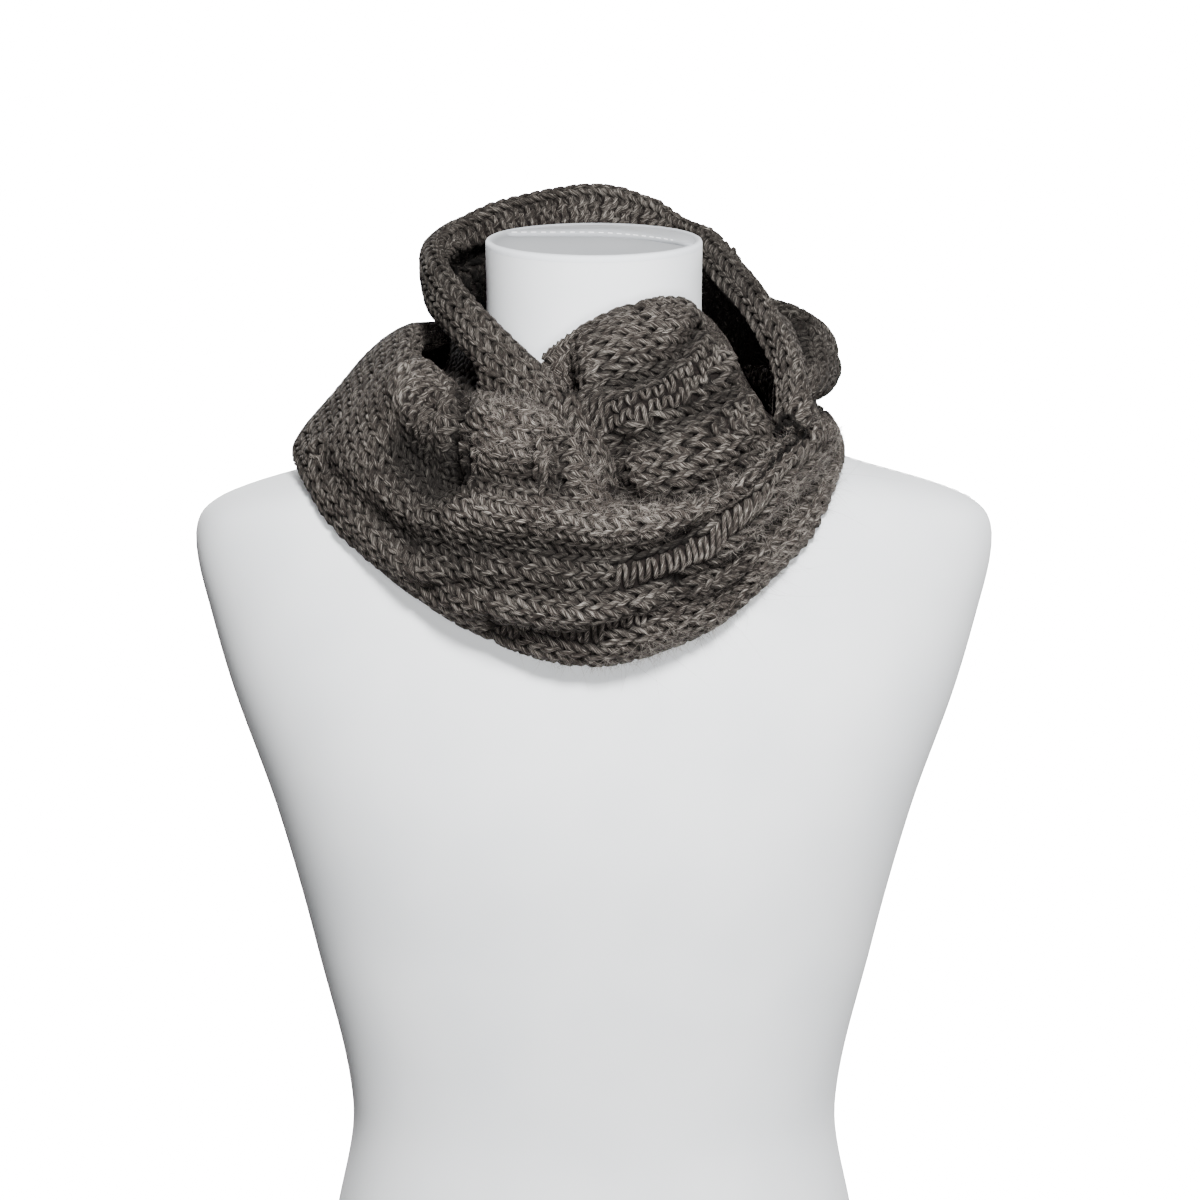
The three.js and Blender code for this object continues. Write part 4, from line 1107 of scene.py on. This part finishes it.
# %% The form's cover
FORM_SECTIONS = np.array([
    [0, 160, 103, 112, 0, 2.3],
    [60, 166, 108, 118, 0, 2.3],
    [130, 152, 104, 106, 0, 2.3],
    [195, 142, 100, 96, 0, 2.3],
    [290, 162, 112, 98, 0, 2.3],
    [372, 184, 122, 104, 0, 2.3],
    [440, 208, 116, 110, 0, 2.3],
    [485, 221, 103, 110, 0, 2.3],
    [520, 229, 90, 105, 0, 2.3],
    [540, 227, 81, 99, 0, 2.3],
    [551, 215, 76, 94, 0, 2.25],
    [560, 192, 72, 88, 0.01, 2.2],
    [571, 153, 69, 81, 0.03, 2.1],
    [585, 111, 67, 73, 0.06, 2.05],
    [600, 80, 64.5, 66, 0.12, 2],
    [618, 66, 62.5, 61, 0.18, 2],
    [650, 62, 61, 59, 0.19, 2],
    [694, 62, 61, 59, 0.19, 2],
], float)
NECK_END = 694.0
NECK_SLANT = 0.19


def form_rings(heights, insets, count=144):
    """Rings of points: x = width sgn(sin a) |sin a|^(2/power), y likewise with the front or back depth,
    and z = height + slant y."""
    sizes = smooth_rows(FORM_SECTIONS[:, 0], FORM_SECTIONS[:, 1:], heights)
    width, front, back, slant, power = sizes.T[..., None]
    turn = 2 * np.pi * np.arange(count)[None, :] / count
    side, depth = np.sin(turn), -np.cos(turn)
    reach = np.where(depth < 0, front, back)
    inset = np.asarray(insets, float)[:, None]
    x = (width - inset) * np.sign(side) * np.abs(side) ** (2 / power)
    y = (reach - inset) * np.sign(depth) * np.abs(depth) ** (2 / power)
    return np.stack([x, y, heights[:, None] + slant * y], -1)


def closed_rings(rings):
    """Joins rings into one closed body with a many-sided face at each end."""
    rows, count = rings.shape[:2]
    number = np.arange(rows * count).reshape(rows, count)
    beside = np.roll(number, -1, axis=1)
    quads = np.stack([number[:-1], beside[:-1], beside[1:], number[1:]], -1).reshape(-1)
    corners = np.concatenate([quads, number[0][::-1], number[-1]])
    sizes = np.concatenate([np.full(len(quads) // 4, 4), [count, count]])
    return rings.reshape(-1, 3), corners, sizes


def jersey_material(name, low_colour, high_colour, shaded=False):
    """White jersey: a cloudy tone and a fine grain, and times the mesh's own painted light where shaded.
    """
    material, add, set_shader = new_material(name)
    colour = colour_ramp(add, object_noise(add, 14.0), (0.3, srgb(low_colour)), (0.7, srgb(high_colour)))
    if shaded:
        colour = dimmed(add, colour, mesh_light(add))
    bump = add("ShaderNodeBump", Height=object_noise(add, 900.0), Strength=0.12, Distance=0.3 * MM)
    set_shader(Base_Color=colour, Roughness=0.85, Specular_IOR_Level=0.25, Sheen_Weight=0.15,
               Normal=bump.outputs["Normal"])
    return material


jersey_finish = jersey_material("white_jersey", "#e3e6e9", "#edeff1")
# The panel's jersey is a painted-shade copy: a greyer base times each point's painted light.
panel_painted_shade = jersey_material("panel_jersey_painted_shade", "#dde1e6", "#e8ebef", shaded=True)
thread_finish = jersey_material("white_thread", "#fbfbfb", "#ffffff")
body_heights = np.concatenate([np.linspace(0, 530, 72), np.linspace(535, NECK_END, 58)[:-1],
                               [NECK_END - 0.1, NECK_END]])
body_rings = form_rings(body_heights, np.zeros(len(body_heights)))
torso_cover = make_mesh("torso_cover", *closed_rings(body_rings), jersey_finish)
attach(torso_cover, "root")
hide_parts("form_torso")
print("torso_cover rings", len(body_rings), "shoulders", round(np.ptp(body_rings[..., 0])), "mm wide")

# %% [markdown]
# ## The neck's end
# The cover's end panel is sewn in with a straight line of stitches, and behind the line a strip lies
# double. The panel is a stack of rings, the strip a thin flat piece with the panel's own edge on one
# side, and each stitch a short tube along its line.

# %% The neck's end
CAP_TOP = 4.0
CAP_DISH = 1.2
STRIP_TOP = 3.2
STRIP_INSET = 4.2
# STRIP_LIGHT is painted shade on the double strip.
STRIP_LIGHT = 0.52
SEAM_LINE_Y = 25.0
SEAM_BEND = 0.0105
SEAM_BEND_FROM = -8
# Each level is its height over the neck's end, how far in it lies, and its painted light: painted shade on
# the dished panel, full light at the rim.
cap_levels = np.array([
    (0.05, 0, 1), (0.15, 0, 1), (1.3, 0, 1), (2.4, 0.1, 1), (3.4, 0.7, 0.9), (CAP_TOP, 1.8, 0.7),
    (3.4, 3.2, 0.5), (2.2, 4.4, 0.36), (1.6, 6, 0.32), (CAP_DISH, 9, 0.34), (CAP_DISH, 20, 0.38),
    (CAP_DISH, 40, 0.4)])
cap_rings = form_rings(np.full(len(cap_levels), NECK_END), cap_levels[:, 1])
cap_rings[..., 2] += cap_levels[:, 0][:, None]
cap_light = np.repeat(cap_levels[:, 2], cap_rings.shape[1])
neck_cap = make_mesh("neck_cap", *closed_rings(cap_rings), panel_painted_shade, light=cap_light)
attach(neck_cap, "root")
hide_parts("form_neck_cap")


def seam_line_y(x):
    """The seam line on the panel: straight from the left, then forwards by bend (x - start)^2."""
    return SEAM_LINE_Y - SEAM_BEND * np.maximum(x - SEAM_BEND_FROM, 0) ** 2


def strip_rings(levels):
    """Rings of the double strip: the panel's edge where it is behind the seam line, then the line."""
    edge = form_rings(np.array([NECK_END]), [STRIP_INSET])[0]
    edge = edge[edge[:, 1] > seam_line_y(edge[:, 0])]
    edge = edge[np.argsort(np.arctan2(edge[:, 1] + 20, edge[:, 0]))]
    x = np.linspace(edge[-1, 0], edge[0, 0], 30)[1:-1]
    y = seam_line_y(x)
    line = np.stack([x, y, NECK_END + NECK_SLANT * y], -1)
    ring = np.concatenate([edge, line])
    middle = ring.mean(axis=0)
    return np.stack([middle + (ring - middle) * (1 - inset / 50) + [0, 0, lift]
                     for lift, inset in levels])


strip = strip_rings([(0.6, 0), (STRIP_TOP - 0.5, 0), (STRIP_TOP, 0.6)])
strip_light = np.full(strip[..., 0].size, STRIP_LIGHT)
neck_strip = make_mesh("neck_strip", *closed_rings(strip), panel_painted_shade, light=strip_light)
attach(neck_strip, "root")


def stitches(name, path, up, length=3.4, pitch=5.6, thickness=0.42):
    """Stitches along a path: tubes as long as a stitch, one each pitch, where the path's length over
    the pitch leaves less than the stitch's share."""
    steps = run_length(path)
    way = np.arange(0, steps[-1], pitch / 12)
    keep = way % pitch < length
    centre, side = (np.stack([np.interp(way, steps, grid[:, axis]) for axis in range(3)], -1)[keep]
                    for grid in (path, up))
    number = (way // pitch)[keep].astype(int)
    arrays = tube_arrays(centre, side, np.full(len(centre), thickness), number, YARN_SIDES)
    piece = make_mesh(name, *arrays[:3], thread_finish, arrays[3])
    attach(piece, "root")
    print(name, len(np.unique(number)), "stitches")


LINE_POINTS = 40
across_panel = np.linspace(-48, 45, LINE_POINTS)
line_y = seam_line_y(across_panel) + 1.6
panel_line = np.stack([across_panel, line_y, NECK_END + NECK_SLANT * line_y + STRIP_TOP], -1)
stitches("panel_stitches", panel_line, np.tile([0.0, 0.0, 1.0], (LINE_POINTS, 1)))

# %% The shoulder seam
SHOULDER_POINT = 34
seam_heights = np.linspace(598, 548, LINE_POINTS)
seam_rings = form_rings(seam_heights, np.full(LINE_POINTS, -0.3))
stitches("shoulder_stitches", seam_rings[:, SHOULDER_POINT],
         np.tile([0.3, -0.4, 0.9], (LINE_POINTS, 1)), length=5.5, pitch=7.6, thickness=0.5)

# %% [markdown]
# ## Floor, backdrop and light
# A plain pale sweep of paper, a soft square light above the camera, a weaker one below it, two behind
# the form for its back, and a dim surround. The main light is small enough for the loops to throw
# shade on each other.

# %% The stage
ROOM_RADIUS = 3.2
ROOM_BEND = 1.2
ROOM_HEIGHT = 5.0
ROOM_POINTS = 64


def room_arrays():
    """A round floor that curves up into a wall on all sides: rings of radius and height, which are
    flat, then a quarter circle, then straight up."""
    turn = np.linspace(0, np.pi / 2, 16)
    bend = ROOM_RADIUS - ROOM_BEND + ROOM_BEND * np.sin(turn)
    radius = np.concatenate([[0.05, 1.0], bend, [ROOM_RADIUS]])
    height = np.concatenate([[0, 0], ROOM_BEND * (1 - np.cos(turn)), [ROOM_HEIGHT]])
    around = 2 * np.pi * np.arange(ROOM_POINTS) / ROOM_POINTS
    rings = np.stack([radius[:, None] * np.cos(around), radius[:, None] * np.sin(around),
                      np.broadcast_to(height[:, None], (len(radius), ROOM_POINTS))], -1) / MM
    number = np.arange(len(rings) * ROOM_POINTS).reshape(-1, ROOM_POINTS)
    beside = np.roll(number, -1, axis=1)
    quads = np.stack([number[:-1], number[1:], beside[1:], beside[:-1]], -1).reshape(-1)
    corners = np.concatenate([quads, number[0][::-1]])[::-1]
    sizes = np.concatenate([[ROOM_POINTS], np.full(len(quads) // 4, 4)])
    return rings.reshape(-1, 3), corners, sizes


def paper_material():
    """White paper that glows, so that it stays white behind the form."""
    material, add, set_shader = new_material("white_paper")
    grain = colour_ramp(add, object_noise(add, 40.0), (0.0, srgb("#f6f6f6")), (1.0, srgb("#fbfbfb")))
    set_shader(Base_Color=grain, Roughness=0.95, Emission_Color=(1, 1, 1, 1), Emission_Strength=20.0)
    return material


floor = make_mesh("floor", *room_arrays(), paper_material())
floor.visible_diffuse = False
floor.visible_glossy = False
floor.visible_shadow = False


def soft_light(name, place, target, size, power):
    """A square lamp at a place in metres, turned towards a target."""
    data = bpy.data.lights.new(name, "AREA")
    data.size = size
    data.energy = power
    lamp = bpy.data.objects.new(name, data)
    lamp.location = place
    aim = np.array(target, float) - np.array(place, float)
    tilt, turn = np.arctan2(np.hypot(aim[0], aim[1]), -aim[2]), np.arctan2(aim[0], -aim[1]) + np.pi
    lamp.rotation_euler = (tilt, 0, turn)
    bpy.context.scene.collection.objects.link(lamp)


soft_light("key_light", (0.2, -1.35, 1.45), (0, 0, 0.55), 0.35, 74)
soft_light("front_light", (0.2, -1.5, 0.4), (0, 0, 0.5), 0.4, 20)
soft_light("back_light", (-0.7, 1.7, 1.3), (0, 0, 0.5), 0.8, 50)
soft_light("back_right_light", (1.4, 1.2, 0.9), (0, 0, 0.5), 0.8, 24)
world = bpy.data.worlds.new("pale_surround")
world.use_nodes = True
surround = world.node_tree.nodes["Background"].inputs
surround["Color"].default_value = (1, 1, 1, 1)
surround["Strength"].default_value = 0.12
bpy.context.scene.world = world
